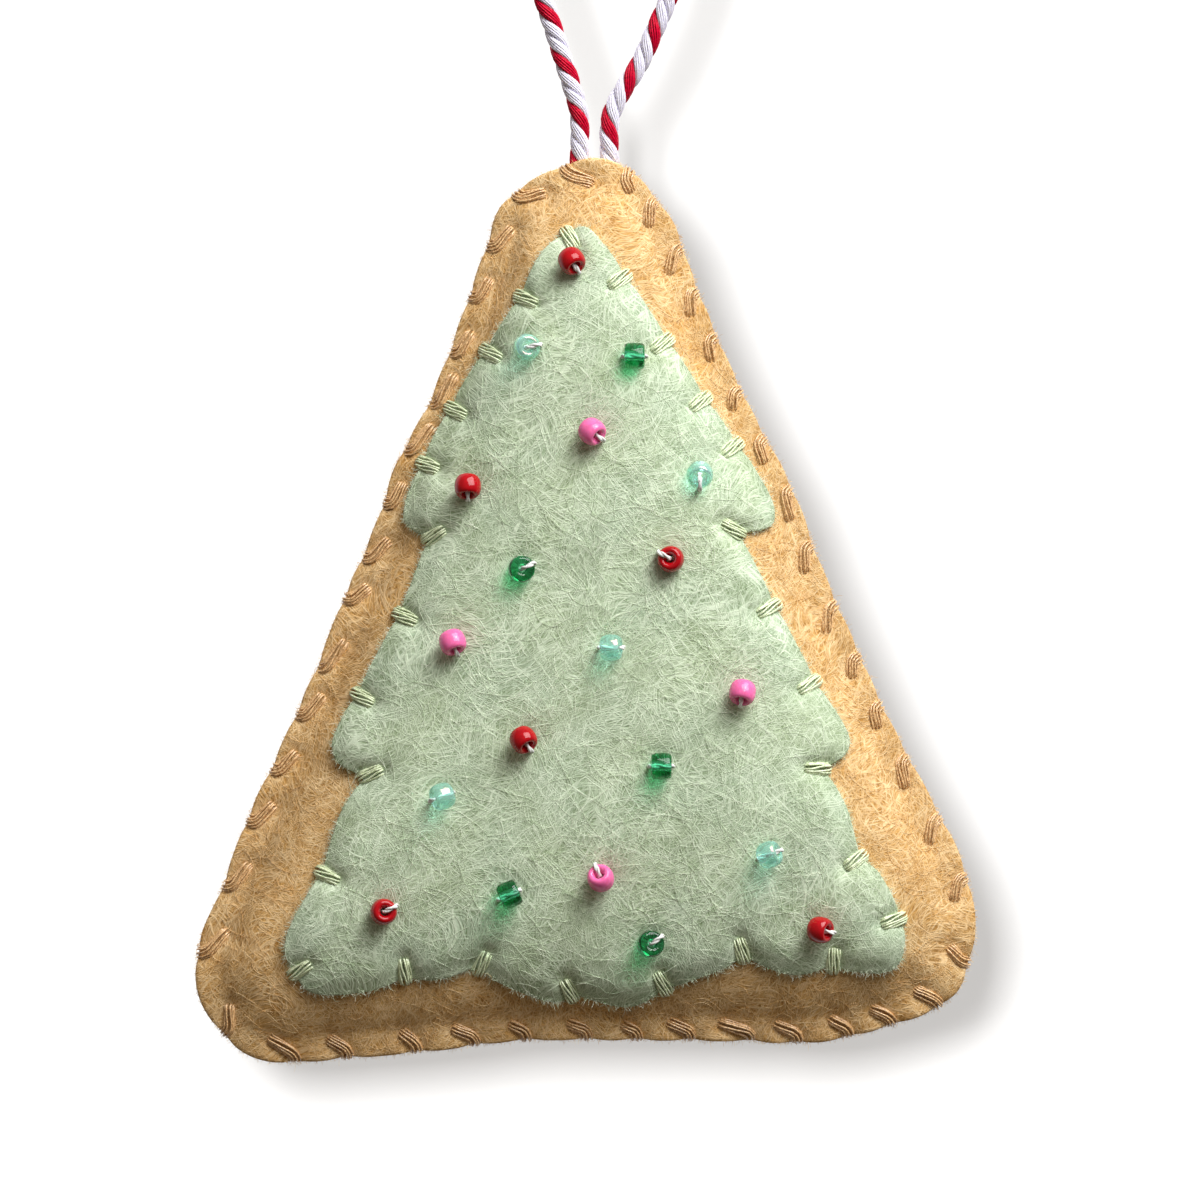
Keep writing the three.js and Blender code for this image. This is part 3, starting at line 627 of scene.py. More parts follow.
GREEN_FLOSS = FlossFinish(
    "green_floss", shade=(0.86, 0.94, 0.66, 1), shadow=(0.46, 0.56, 0.29, 1), roughness=0.33, shine=0.9,
)
WHITE_THREAD = FlossFinish(
    "white_thread", shade=(0.86, 0.86, 0.84, 1), shadow=(0.66, 0.66, 0.65, 1), roughness=0.7, shine=0.2,
)
WHITE_YARN = FlossFinish(
    "white_yarn", shade=(0.92, 0.895, 1.0, 1), shadow=(0.81, 0.785, 1.0, 1), roughness=0.9, shine=0.1,
    relief_mm=0.012, glow_through=0.3, haze=0.8, haze_tint=(0.84, 0.81, 1.0, 1),
)
RED_YARN = FlossFinish(
    "red_yarn", shade=(0.68, 0.0, 0.034, 1), shadow=(0.36, 0.0, 0.014, 1), roughness=0.4, shine=0.18,
    relief_mm=0.04, haze=0.1, haze_tint=(1.0, 0.10, 0.25, 1),
)
GLASS = {
    Glass.RED: GlassFinish("red_glass", (0.44, 0.001, 0.006, 1)),
    Glass.PINK: GlassFinish("pink_glass", (1.0, 0.18, 0.45, 1), roughness=0.12, milk=0.15),
    Glass.AQUA: ClearGlassFinish(
        "aqua_glass", colour=(0.66, 0.94, 0.86, 1), veil=(0.8, 0.86, 0.85, 1),
        absorbed=(0.35, 0.80, 0.76, 1), density=260.0, clear=0.8, roughness=0.1, film_nm=400.0,
    ),
    Glass.GREEN: ClearGlassFinish(
        "green_glass", colour=(0.9, 1.0, 0.94, 1), veil=(0.78, 0.83, 0.79, 1),
        absorbed=(0.0, 0.70, 0.48, 1), density=1400.0, clear=1.0,
    ),
}


# Lines and curves in the plane


def centripetal(corners: Points, per_span: int, closed: bool) -> Points:
    """Draws a smooth line through points.

    Args:
        corners: the points, one a row.
        per_span: how many points each span gets.
        closed: whether the line runs back to its first point.

    Returns:
        The line's points, with the last corner where it is open.
    """
    if closed:
        before, here, after, beyond = (np.roll(corners, shift, axis=0) for shift in (1, 0, -1, -2))
    else:
        ends = [2 * corners[:1] - corners[1:2], corners, 2 * corners[-1:] - corners[-2:-1]]
        row = np.concatenate(ends)
        before, here, after, beyond = row[:-3], row[1:-2], row[2:-1], row[3:]
    steps = [np.linalg.norm(b - a, axis=1, keepdims=True) ** 0.5
             for a, b in ((before, here), (here, after), (after, beyond))]
    leave = (here - before) / steps[0] - (after - before) / (steps[0] + steps[1])
    arrive = (after - here) / steps[1] - (beyond - here) / (steps[1] + steps[2])
    leave = (leave + (after - here) / steps[1]) * steps[1]
    arrive = (arrive + (beyond - after) / steps[2]) * steps[1]
    share = np.linspace(0, 1, per_span, endpoint=False)[None, :, None]
    square = -3 * here + 3 * after - 2 * leave - arrive
    cube = 2 * here - 2 * after + leave + arrive
    line = here[:, None] + leave[:, None] * share + square[:, None] * share**2 + cube[:, None] * share**3
    line = line.reshape(-1, corners.shape[1])
    return line if closed else np.concatenate([line, corners[-1:]])


def travel(line: Points) -> Points:
    """Gives how far along a line each of its points lies."""
    return np.concatenate([[0], np.cumsum(np.linalg.norm(np.diff(line, axis=0), axis=1))])


def evenly(line: Points, count: int, closed: bool = False) -> Points:
    """Spaces points evenly along a line.

    Args:
        line: the line's points.
        count: how many points are wanted.
        closed: whether the line runs back to its first point.

    Returns:
        The evenly spaced points.
    """
    row = np.concatenate([line, line[:1]]) if closed else line
    reach = travel(row)
    at = np.linspace(0, reach[-1], count, endpoint=not closed)
    return np.stack([np.interp(at, reach, row[:, axis]) for axis in range(row.shape[1])], axis=1)


def unit(rows: Points) -> Points:
    """Scales each row to a length of one."""
    return rows / np.maximum(np.linalg.norm(rows, axis=-1, keepdims=True), TINY)


def bell(distance: Points, reach: float, power: int = 2) -> Points:
    """Falls from 1 at no distance to nothing past the reach."""
    return np.exp(-((distance / reach) ** power))


def inward_of(ring: Points) -> Points:
    """Gives the directions into a clockwise ring at its points."""
    along = unit(np.roll(ring, -1, axis=0) - np.roll(ring, 1, axis=0))
    return np.stack([along[:, 1], -along[:, 0]], axis=1)


def inside(ring: Points, points: Points) -> Points:
    """Says which points lie inside a ring.

    Args:
        ring: the ring's corners.
        points: the points to test.

    Returns:
        True for each point that lies inside.
    """
    nexts = np.roll(ring, -1, axis=0)
    found = np.zeros(len(points), bool)
    for (x0, z0), (x1, z1) in zip(ring, nexts):
        crosses = (z0 > points[:, 1]) != (z1 > points[:, 1])
        rise = z1 - z0 if z1 != z0 else TINY
        found ^= crosses & (points[:, 0] < (x1 - x0) * (points[:, 1] - z0) / rise + x0)
    return found


def to_segment(points: Points, start: Points, end: Points) -> Points:
    """Measures how far points lie from a straight stretch."""
    along = end - start
    share = np.clip((points - start) @ along / (along @ along), 0, 1)
    return np.linalg.norm(points - start - share[:, None] * along, axis=1)


def upright(points: Points, depth: Points | float) -> Points:
    """Puts points of the front plane, across and up, at a depth."""
    return np.stack([points[..., 0], np.broadcast_to(depth, points.shape[:-1]), points[..., 1]], axis=-1)


# Pieces


def add_object(name: str, data: bpy.types.ID, *materials: bpy.types.Material) -> bpy.types.Object:
    """Puts a mesh or curve into the scene under a name, with its materials."""
    for material in materials:
        data.materials.append(material)
    made = bpy.data.objects.new(name, data)
    bpy.context.scene.collection.objects.link(made)
    return made


def as_mesh(made: bpy.types.Object) -> bpy.types.Object:
    """Turns a curve or a piece with modifiers into a plain mesh piece of the same name."""
    name = made.name
    shown = made.evaluated_get(bpy.context.evaluated_depsgraph_get())
    mesh = bpy.data.meshes.new_from_object(shown)
    bpy.data.objects.remove(made)
    return add_object(name, mesh)


def mesh_from(shape: bmesh.types.BMesh, name: str) -> bpy.types.Mesh:
    """Turns a finished bmesh into a mesh and frees it."""
    mesh = bpy.data.meshes.new(name)
    shape.to_mesh(mesh)
    shape.free()
    return mesh


def in_even_faces(made: bpy.types.Object, face_size: float) -> bpy.types.Object:
    """Covers a closed piece with even faces of that width."""
    grid = made.modifiers.new("grid", "REMESH")
    grid.mode = "VOXEL"
    grid.voxel_size = face_size
    return as_mesh(made)


def coordinates(mesh: bpy.types.Mesh) -> Points:
    """Reads a mesh's points, one a row."""
    flat = np.empty(3 * len(mesh.vertices), np.float64)
    mesh.vertices.foreach_get("co", flat)
    return flat.reshape(-1, 3)


def set_coordinates(mesh: bpy.types.Mesh, points: Points) -> None:
    """Writes a mesh's points."""
    mesh.vertices.foreach_set("co", points.astype(np.float32).ravel())
    mesh.update()


def smooth_faces(mesh: bpy.types.Mesh) -> None:
    """Shades every face of a mesh smoothly."""
    mesh.polygons.foreach_set("use_smooth", [True] * len(mesh.polygons))


@dataclass
class Strands:
    """Many thin round strands that make one piece."""

    name: str
    radius: float
    resolution: int = 1
    capped: bool = True
    lines: list[Points] = field(default_factory=list)
    slots: list[int] = field(default_factory=list)
    widths: list[Points | None] = field(default_factory=list)

    def add(self, line: Points, slot: int = 0, widths: Points | None = None) -> None:
        """Adds a strand.

        Args:
            line: its points.
            slot: the material slot that it takes.
            widths: shares of the radius along it, where it isn't even.
        """
        self.lines.append(line)
        self.slots.append(slot)
        self.widths.append(widths)

    def build(self, *materials: bpy.types.Material) -> bpy.types.Object:
        """Makes the piece, with a material for each slot."""
        curve = bpy.data.curves.new(self.name, "CURVE")
        curve.dimensions = "3D"
        curve.bevel_depth = self.radius
        curve.bevel_resolution = self.resolution
        curve.use_fill_caps = self.capped
        for material in materials:
            curve.materials.append(material)
        for line, slot, widths in zip(self.lines, self.slots, self.widths):
            spline = curve.splines.new("POLY")
            spline.points.add(len(line) - 1)
            spline.points.foreach_set("co", np.c_[line, np.ones(len(line))].ravel())
            if widths is not None:
                spline.points.foreach_set("radius", widths)
            spline.material_index = slot
            spline.use_smooth = True
        return add_object(self.name, curve)


def frames_along(line: Points, first_side: Points) -> tuple[Points, Points]:
    """Carries two cross directions along a line without twisting them.

    Args:
        line: the line's points.
        first_side: a direction across the line at its start.

    Returns:
        The two directions at each point.
    """
    along = unit(np.gradient(line, axis=0))
    side = first_side
    sides = []
    for direction in along:
        side = side - (side @ direction) * direction
        side = side / np.linalg.norm(side)
        sides.append(side)
    side_rows = np.array(sides)
    return side_rows, np.cross(along, side_rows)


def around(angles: Points, side: Points, up: Points) -> Points:
    """Gives the directions at angles round a line, from its two cross directions."""
    return np.cos(angles)[:, None] * side + np.sin(angles)[:, None] * up


@dataclass
class Relief:
    """The height of the felts over the seam's plane, read off the finished pieces."""

    side: Side
    low: Points
    step: float
    depths: Points

    @classmethod
    def read(
        cls, side: Side, pieces: Iterable[bpy.types.Object], step: float = 0.3 * MM, margin: int = 3,
        reach: float = 30 * MM,
    ) -> "Relief":
        """Looks at pieces square to the seam and notes how far each place stands out.

        Args:
            side: the side that is looked at.
            pieces: the mesh pieces to look at.
            step: the distance between the places.
            margin: how many steps it goes past the pieces.
            reach: how far outside the seam the look starts.

        Returns:
            The relief, which is no lower than zero.
        """
        trees = []
        corners = []
        for piece in pieces:
            mesh = piece.data
            corners.append(coordinates(mesh))
            trees.append(BVHTree.FromPolygons(corners[-1].tolist(), [p.vertices for p in mesh.polygons]))
        points = np.concatenate(corners)[:, [0, 2]]
        low, high = points.min(axis=0) - margin * step, points.max(axis=0) + margin * step
        counts = np.ceil((high - low) / step).astype(int)
        depths = np.zeros(counts)
        start, way = side * reach, Vector((0, -side, 0))
        for across in range(counts[0]):
            for up in range(counts[1]):
                x, z = low + step * np.array([across, up])
                for tree in trees:
                    hit = tree.ray_cast(Vector((x, start, z)), way)[0]
                    if hit is not None:
                        depths[across, up] = max(depths[across, up], side * hit.y)
        return cls(side, low, step, depths)

    def depth(self, points: Points) -> Points:
        """Gives the height at places of the front plane, in a row each."""
        last_cell = np.array(self.depths.shape) - 1.001
        at = np.clip((points - self.low) / self.step, 0, last_cell)
        first = np.floor(at).astype(int)
        share = at - first
        rows = [self.depths[first[:, 0] + a, first[:, 1] + b] for a in (0, 1) for b in (0, 1)]
        left = rows[0] * (1 - share[:, 1]) + rows[1] * share[:, 1]
        right = rows[2] * (1 - share[:, 1]) + rows[3] * share[:, 1]
        return left * (1 - share[:, 0]) + right * share[:, 0]

    def on(self, points: Points, lift: float | Points) -> Points:
        """Lifts places of the front plane onto the relief and a little above it."""
        return upright(points, self.side * (self.depth(points) + lift))


# The cookie


@dataclass
class CookieForm:
    """The stuffed cookie's shape, from its sizes: where its rim and seam run and how it crowns."""

    width: float = 69.1 * MM
    height: float = 80 * MM
    loop_height: float = 66 * MM
    seam_gap: float = 0.1 * MM
    seam_width: float = 2.6 * MM
    felt: float = 1.3 * MM
    rim: float = 0.7 * MM
    least_felt: float = 0.2 * MM
    crown: float = 4.4 * MM
    crown_power: float = 3.0
    crown_round: float = 0.62
    softness: float = 0.03
    middle_share: tuple[float, float] = (-0.005, 0.4)
    mouth_lift: float = 0.7 * MM
    mouth_reach: float = 6 * MM
    mouth_depth: float = 2.4 * MM
    leg_spacing: float = 1.38 * MM
    leg_reach: float = 1.05 * MM
    least_bite: float = 1.3 * MM
    bite_share: float = 0.88
    stitch_press: float = 0.32 * MM
    stitch_reach: float = 0.9 * MM
    hold: float = 0.45 * MM
    hold_reach: float = 2.1 * MM
    draw_in: float = 0.2 * MM
    draw_reach: float = 1.2 * MM
    per_span: int = 60
    rim_count: int = 1840

    def __post_init__(self) -> None:
        """Works out the rim, the seam, the middle and the stitches."""
        self.rim_level = -self.loop_height
        self.floor_level = -self.loop_height - self.height
        corners = self.places(COOKIE_SHARES)
        self.ring = evenly(centripetal(corners, self.per_span, True), self.rim_count, True)
        self.inward = inward_of(self.ring)
        self.seam = self.ring + self.inward * self.seam_width
        self.middle = self.places([self.middle_share])[0]
        self.stitch_rims, self.stitch_holes = self.stitches()
        self.seam_table = self.reach_table(self.seam)
        self.rim_table = self.reach_table(self.ring)

    def places(self, shares: Sequence[Sequence[float]]) -> Points:
        """Turns shares into places, across and up, in a row each."""
        return np.array([(self.width * a, self.floor_level + self.height * u) for a, u in shares])

    def nearest(self, point: Points) -> int:
        """Finds the number of the rim's point nearest to a place."""
        return int(np.linalg.norm(self.ring - point, axis=1).argmin())

    def stitches(self) -> tuple[Points, Points]:
        """Places the whip stitches.

        Returns:
            The numbers of the rim's points where they cross it, and their needle holes.
        """
        rims = [self.nearest(place) for place in self.places([s[:2] for s in EDGE_STITCH_SHARES])]
        holes = []
        for place in self.places([s[2:] for s in EDGE_STITCH_SHARES]):
            at = self.nearest(place)
            bite = max(self.least_bite, self.bite_share * float(np.linalg.norm(place - self.ring[at])))
            holes.append(self.ring[at] + self.inward[at] * bite)
        return np.array(rims), np.array(holes)

    def reach_table(self, ring: Points) -> tuple[Points, Points]:
        """Tabulates how far a ring lies from the middle in each direction.

        Args:
            ring: the ring's points.

        Returns:
            The directions' angles in rising order and the distances.
        """
        spokes = ring - self.middle
        angles = np.arctan2(spokes[:, 1], spokes[:, 0])
        order = np.argsort(angles)
        return angles[order], np.linalg.norm(spokes, axis=1)[order]

    def share(self, points: Points, table: tuple[Points, Points]) -> Points:
        """Gives how far out places lie, with 1 on the ring that the table stands for."""
        spokes = points - self.middle
        angles = np.arctan2(spokes[:, 1], spokes[:, 0])
        reach = np.interp(angles, *table, period=2 * math.pi)
        return np.linalg.norm(spokes, axis=1) / reach

    def inner(self, points: Points) -> Points:
        """Gives the depth of a panel's inner face at places of the front plane."""
        share = self.share(points, self.seam_table)
        open_share = 1 - share**self.crown_power
        soft = (open_share + np.sqrt(open_share**2 + self.softness**2)) / 2
        return self.seam_gap / 2 + self.crown * soft**self.crown_round + self.mouth(points)

    def mouth(self, points: Points) -> Points:
        """Gives how far a panel opens round the twine at places of the front plane."""
        distance = np.linalg.norm(points - np.array([0, self.rim_level]), axis=1)
        return self.mouth_lift * bell(distance, self.mouth_reach)

    def closed(self, points: Points) -> Points:
        """Gives how far a panel's inner face closes its mouth again beside and between the twine's legs."""
        legs = bell(np.abs(points[:, 0]) - self.leg_spacing, self.leg_reach, 4)
        near_rim = bell(self.rim_level - points[:, 1], self.mouth_depth)
        return self.mouth(points) * (1 - legs) * near_rim

    def thickness(self, points: Points) -> Points:
        """Gives a panel's thickness, which the stitches press thin at the rim."""
        out = self.share(points, self.rim_table)
        seam = self.share(points, self.seam_table)
        edge = np.clip((seam - 1) / np.maximum(seam / out - 1, TINY), 0, 1)
        pressed = self.felt + (self.rim - self.felt) * edge
        for rim, hole in zip(self.stitch_rims, self.stitch_holes):
            distance = to_segment(points, self.ring[rim], hole)
            pressed = pressed - self.stitch_press * bell(distance, self.stitch_reach)
        return np.maximum(pressed, self.least_felt)

    def pillow(self, points: Points) -> Points:
        """Gives how far the seam's stitches hold the crown down round them."""
        held = np.zeros(len(points))
        for hole in self.stitch_holes:
            held = held + self.hold * bell(np.linalg.norm(points - hole, axis=1), self.hold_reach)
        return held

    def drawn_in(self, points: Points) -> Points:
        """Pulls places near the stitches into the cookie, which scallops the rim."""
        moved = points.copy()
        for rim in self.stitch_rims:
            distance = np.linalg.norm(points - self.ring[rim], axis=1)
            pull = self.draw_in * bell(distance, self.draw_reach)
            moved = moved + pull[:, None] * self.inward[rim]
        return moved


def lumps(points: Points, size: float, seed: float) -> Points:
    """Gives smooth noise at points, about one each way, whose lumps have that size."""
    shift = Vector((seed, 2 * seed, 3 * seed))
    return np.array([noise.noise(Vector(point) / size + shift) for point in points])


def felt_blank(
    name: str, ring: Points, thickness: float, face_size: float, rounding: int = 2,
) -> bpy.types.Object:
    """Cuts a flat blank of felt whose front lies at minus its thickness, in small even faces.

    Args:
        name: the piece's name.
        ring: the clockwise cut line.
        thickness: the blank's thickness.
        face_size: the width of its faces.
        rounding: how many times its corners are smoothed.

    Returns:
        The blank, rounded a little along its cut.
    """
    shape = bmesh.new()
    corners = [shape.verts.new((x, 0, z)) for x, z in ring]
    face = shape.faces.new(corners)
    grown = bmesh.ops.extrude_face_region(shape, geom=[face])["geom"]
    moved = [part for part in grown if isinstance(part, bmesh.types.BMVert)]
    bmesh.ops.translate(shape, verts=moved, vec=(0, -thickness, 0))
    bmesh.ops.triangulate(shape, faces=shape.faces[:])
    bmesh.ops.recalc_face_normals(shape, faces=shape.faces[:])
    blank = in_even_faces(add_object(name, mesh_from(shape, name)), face_size)
    shape = bmesh.new()
    shape.from_mesh(blank.data)
    for _ in range(rounding):
        bmesh.ops.smooth_vert(
            shape, verts=shape.verts[:], factor=0.5, use_axis_x=True, use_axis_y=True, use_axis_z=True,
        )
    shape.to_mesh(blank.data)
    shape.free()
    smooth_faces(blank.data)
    return blank


@dataclass
class CookiePanels:
    """The two tan felts, each crowned over the filling and puckered by the seam."""

    form: CookieForm
    blank: float = 1.6 * MM
    face_size: float = 0.3 * MM
    matting: float = 0.008 * MM
    coarse_matting: float = 0.8 * MM
    fine_matting: float = 0.45 * MM
    fine_share: float = 0.6
    waves: float = 0.22 * MM
    wave_size: float = 9 * MM
    fully_held: float = 1.2 * MM

    def build(
        self, name: str, node: str, side: Side, seed: float, felt: bpy.types.Material,
    ) -> bpy.types.Object:
        """Builds one panel.

        Args:
            name: the piece's name.
            node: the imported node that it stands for.
            side: the side that it covers.
            seed: what sets its lumps apart.
            felt: its material.

        Returns:
            The panel.
        """
        panel = felt_blank(name, self.form.ring, self.blank, self.face_size)
        points = coordinates(panel.data)
        plan = points[:, [0, 2]]
        rise = np.clip(-points[:, 1] / self.blank, 0, 1)
        inner = self.form.inner(plan)
        body = np.clip((inner - self.form.seam_gap / 2) / self.form.crown, 0, 1)
        sway = self.waves * body * lumps(points, self.wave_size, seed)
        fine = self.fine_share * lumps(points, self.fine_matting, seed)
        mat = self.matting * rise * (lumps(points, self.coarse_matting, seed) + fine)
        held = self.form.pillow(plan) * np.clip(inner / self.fully_held, 0, 1)
        inner = inner - (1 - rise) * self.form.closed(plan)
        depth = np.maximum(inner - held, self.form.seam_gap / 2)
        depth = depth + rise * self.form.thickness(plan) + sway + mat
        set_coordinates(panel.data, upright(self.form.drawn_in(plan), side * depth))
        if side is Side.BACK:
            panel.data.flip_normals()
        panel.data.materials.append(felt)
        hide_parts(node)
        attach(panel, "cookie")
        return panel


@dataclass
class Filling:
    """The soft filling between the panels."""

    face_size: float = 0.9 * MM
    lump: float = 0.35 * MM
    lump_size: float = 4 * MM
    lump_seed: float = 5.0
    shrink: float = 0.8
    weld: float = 1e-6

    def build(self) -> bpy.types.Object:
        """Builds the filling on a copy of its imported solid."""
        shape = bmesh.new()
        shape.from_mesh(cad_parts["stuffing"].data)
        bmesh.ops.remove_doubles(shape, verts=shape.verts[:], dist=self.weld)
        made = add_object("filling", mesh_from(shape, "filling"), FILLING.make())
        made = in_even_faces(made, self.face_size)
        points = coordinates(made.data)
        outward = np.array([corner.normal for corner in made.data.vertices])
        swell = self.lump * (lumps(points, self.lump_size, self.lump_seed) - self.shrink)
        set_coordinates(made.data, points + outward * swell[:, None])
        smooth_faces(made.data)
        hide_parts("stuffing")
        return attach(made, "cookie")


# The tree


@dataclass
class TreeForm:
    """The tree's cut line and its stitches."""

    cookie: CookieForm
    thickness: float = 1.3 * MM
    edge_thickness: float = 0.8 * MM
    edge_reach: float = 1.1 * MM
    gap: float = 0.06 * MM
    bite: float = 1.68 * MM
    beside: float = 0.15 * MM
    stitch_press: float = 0.5 * MM
    stitch_reach: float = 0.8 * MM
    stitch_sag: float = 0.2 * MM
    sag_reach: float = 2.0 * MM
    bead_press: float = 0.38 * MM
    bead_reach: float = 1.7 * MM
    draw_in: float = 0.22 * MM
    draw_reach: float = 1.0 * MM
    per_span: int = 14
    edge_count: int = 4000

    def __post_init__(self) -> None:
        """Works out the cut line and the stitches."""
        runs = [centripetal(self.cookie.places(run), self.per_span, False)[:-1] for run in TREE_RUN_SHARES]
        self.ring = np.concatenate(runs)
        fine = evenly(self.ring, self.edge_count, True)
        centres = self.cookie.places(TREE_STITCH_SHARES)
        edges = np.array([fine[np.linalg.norm(fine - centre, axis=1).argmin()] for centre in centres])
        outward = unit(edges - centres)
        self.stitch_inner = edges - outward * self.bite
        self.stitch_outer = edges + outward * self.beside
        self.stitch_edges = edges
        self.stitch_outward = outward

    def pressed(self, points: Points) -> Points:
        """Gives how far the stitches and the beads' threads press the tree down."""
        held = np.zeros(len(points))
        for edge, inner in zip(self.stitch_edges, self.stitch_inner):
            distance = to_segment(points, edge, inner)
            held = held + self.stitch_press * bell(distance, self.stitch_reach)
            held = held + self.stitch_sag * bell(distance, self.sag_reach)
        for centre in self.cookie.places([(place.across, place.up) for place in BEADS]):
            distance = np.linalg.norm(points - centre, axis=1)
            held = held + self.bead_press * bell(distance, self.bead_reach)
        return held

    def thickness_at(self, points: Points) -> Points:
        """Gives the felt's thickness, which thins to its cut edge."""
        places = KDTree(len(self.ring))
        for number, (x, z) in enumerate(evenly(self.ring, len(self.ring), True)):
            places.insert((x, 0, z), number)
        places.balance()
        distance = np.array([places.find((x, 0, z))[2] for x, z in points])
        edge = bell(distance, self.edge_reach)
        return self.thickness + (self.edge_thickness - self.thickness) * edge

    def drawn_in(self, points: Points) -> Points:
        """Pulls places near the stitches into the tree."""
        moved = points.copy()
        for edge, outward in zip(self.stitch_edges, self.stitch_outward):
            distance = np.linalg.norm(points - edge, axis=1)
            moved = moved - (self.draw_in * bell(distance, self.draw_reach))[:, None] * outward
        return moved


@dataclass
class TreePiece:
    """The mint felt tree on the cookie's front."""

    form: TreeForm
    seat: Relief
    face_size: float = 0.235 * MM
    matting: float = 0.01 * MM
    coarse_matting: float = 0.9 * MM
    coarse_seed: float = 7.0
    fine_matting: float = 0.5 * MM
    fine_seed: float = 8.0
    fine_share: float = 0.7
    least_felt: float = 0.4 * MM

    def build(self) -> bpy.types.Object:
        """Builds the tree, which lies on the front felt."""
        tree = felt_blank("mint_tree", self.form.ring, self.form.thickness, self.face_size)
        points = coordinates(tree.data)
        plan = points[:, [0, 2]]
        rise = np.clip(-points[:, 1] / self.form.thickness, 0, 1)
        fine = self.fine_share * lumps(points, self.fine_matting, self.fine_seed)
        mat = self.matting * rise * (lumps(points, self.coarse_matting, self.coarse_seed) + fine)
        thickness = self.form.thickness_at(plan)
        held = np.minimum(self.form.pressed(plan), thickness - self.least_felt)
        depth = self.seat.depth(plan) + self.form.gap + rise * (thickness - held) + mat
        set_coordinates(tree.data, upright(self.form.drawn_in(plan), Side.FRONT * depth))
        tree.data.materials.append(MINT_FELT.make())
        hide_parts("tree_applique")
        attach(tree, "cookie")
        return tree


# Threads


@dataclass
class Skin:
    """The outer surface of finished pieces, for the stitches that lie along it."""

    trees: Sequence[BVHTree]
    reach: float = 20 * MM

    @classmethod
    def of(cls, pieces: Iterable[bpy.types.Object]) -> "Skin":
        """Reads the faces of pieces."""
        trees = []
        for piece in pieces:
            faces = [face.vertices for face in piece.data.polygons]
            trees.append(BVHTree.FromPolygons(coordinates(piece.data).tolist(), faces))
        return cls(trees)

    def met(self, centre: Points, way: Points) -> list[tuple[Points, Points]]:
        """Looks from outside towards a place and finds what the look meets first.

        Args:
            centre: the place.
            way: the direction from it to where the look starts.

        Returns:
            The point that is met and the normal there, in a list that is empty where nothing is.
        """
        start = Vector(centre + way * self.reach)
        hits = [tree.ray_cast(start, Vector(-way), self.reach) for tree in self.trees]
        hits = sorted((hit for hit in hits if hit[0] is not None), key=lambda hit: hit[3])
        return [(np.array(hit[0]), np.array(hit[1])) for hit in hits[:1]]


@dataclass
class Floss:
    """A plump bundle of satin strands that narrows a little to its holes and twists a little."""

    strands: int = 9
    half_width: float = 0.52 * MM
    half_height: float = 0.25 * MM
    strand: float = 0.09 * MM
    twist: float = 0.2
    pinch: float = 0.6
    plumpness: float = 0.6
    waver: float = 0.06 * MM
    waver_rate: float = 7
    waver_step: float = 2.4
    sunk: float = 0.5
    rim_press: float = 0.6
    rim_share: float = 0.1
    per_span: int = 6
    steps: int = 16
    steps_over_rim: int = 30

    def lay(self, into: Strands, route: Points, normals: Points, seed: float, over_rim: bool) -> None:
        """Lays one stitch.

        Args:
            into: the piece that takes the strands.
            route: the stitch's middle line along the felt, which starts and ends inside it.
            normals: the direction off the felt at each of its points.
            seed: what sets its roll apart.
            over_rim: whether its middle lies over the rim, which flattens it.
        """
        way = travel(route)
        steps = self.steps_over_rim if over_rim else self.steps
        line = evenly(centripetal(route, self.per_span, False), steps)
        share = np.linspace(0, 1, len(line))
        off = [np.interp(share, way / way[-1], normals[:, axis]) for axis in range(3)]
        off = unit(np.stack(off, axis=1))
        side = unit(np.cross(unit(np.gradient(line, axis=0)), off))
        up = unit(np.cross(side, np.gradient(line, axis=0)))
        swell = self.pinch + (1 - self.pinch) * np.abs(np.sin(math.pi * share)) ** self.plumpness
        flat = 1 - over_rim * self.rim_press * bell(share - 0.5, self.rim_share)
        centre = line + (self.half_height * swell * (self.sunk - (1 - flat)))[:, None] * up
        for strand in range(self.strands):
            turn = 2 * math.pi * (strand / self.strands + self.twist * (1 + over_rim) * share) + seed
            waver = self.waver * np.sin(self.waver_rate * share + self.waver_step * strand + seed)
            beside = self.half_width * np.cos(turn) * swell + waver
            above = self.half_height * np.sin(turn) * swell * flat
            into.add(centre + beside[:, None] * side + above[:, None] * up)


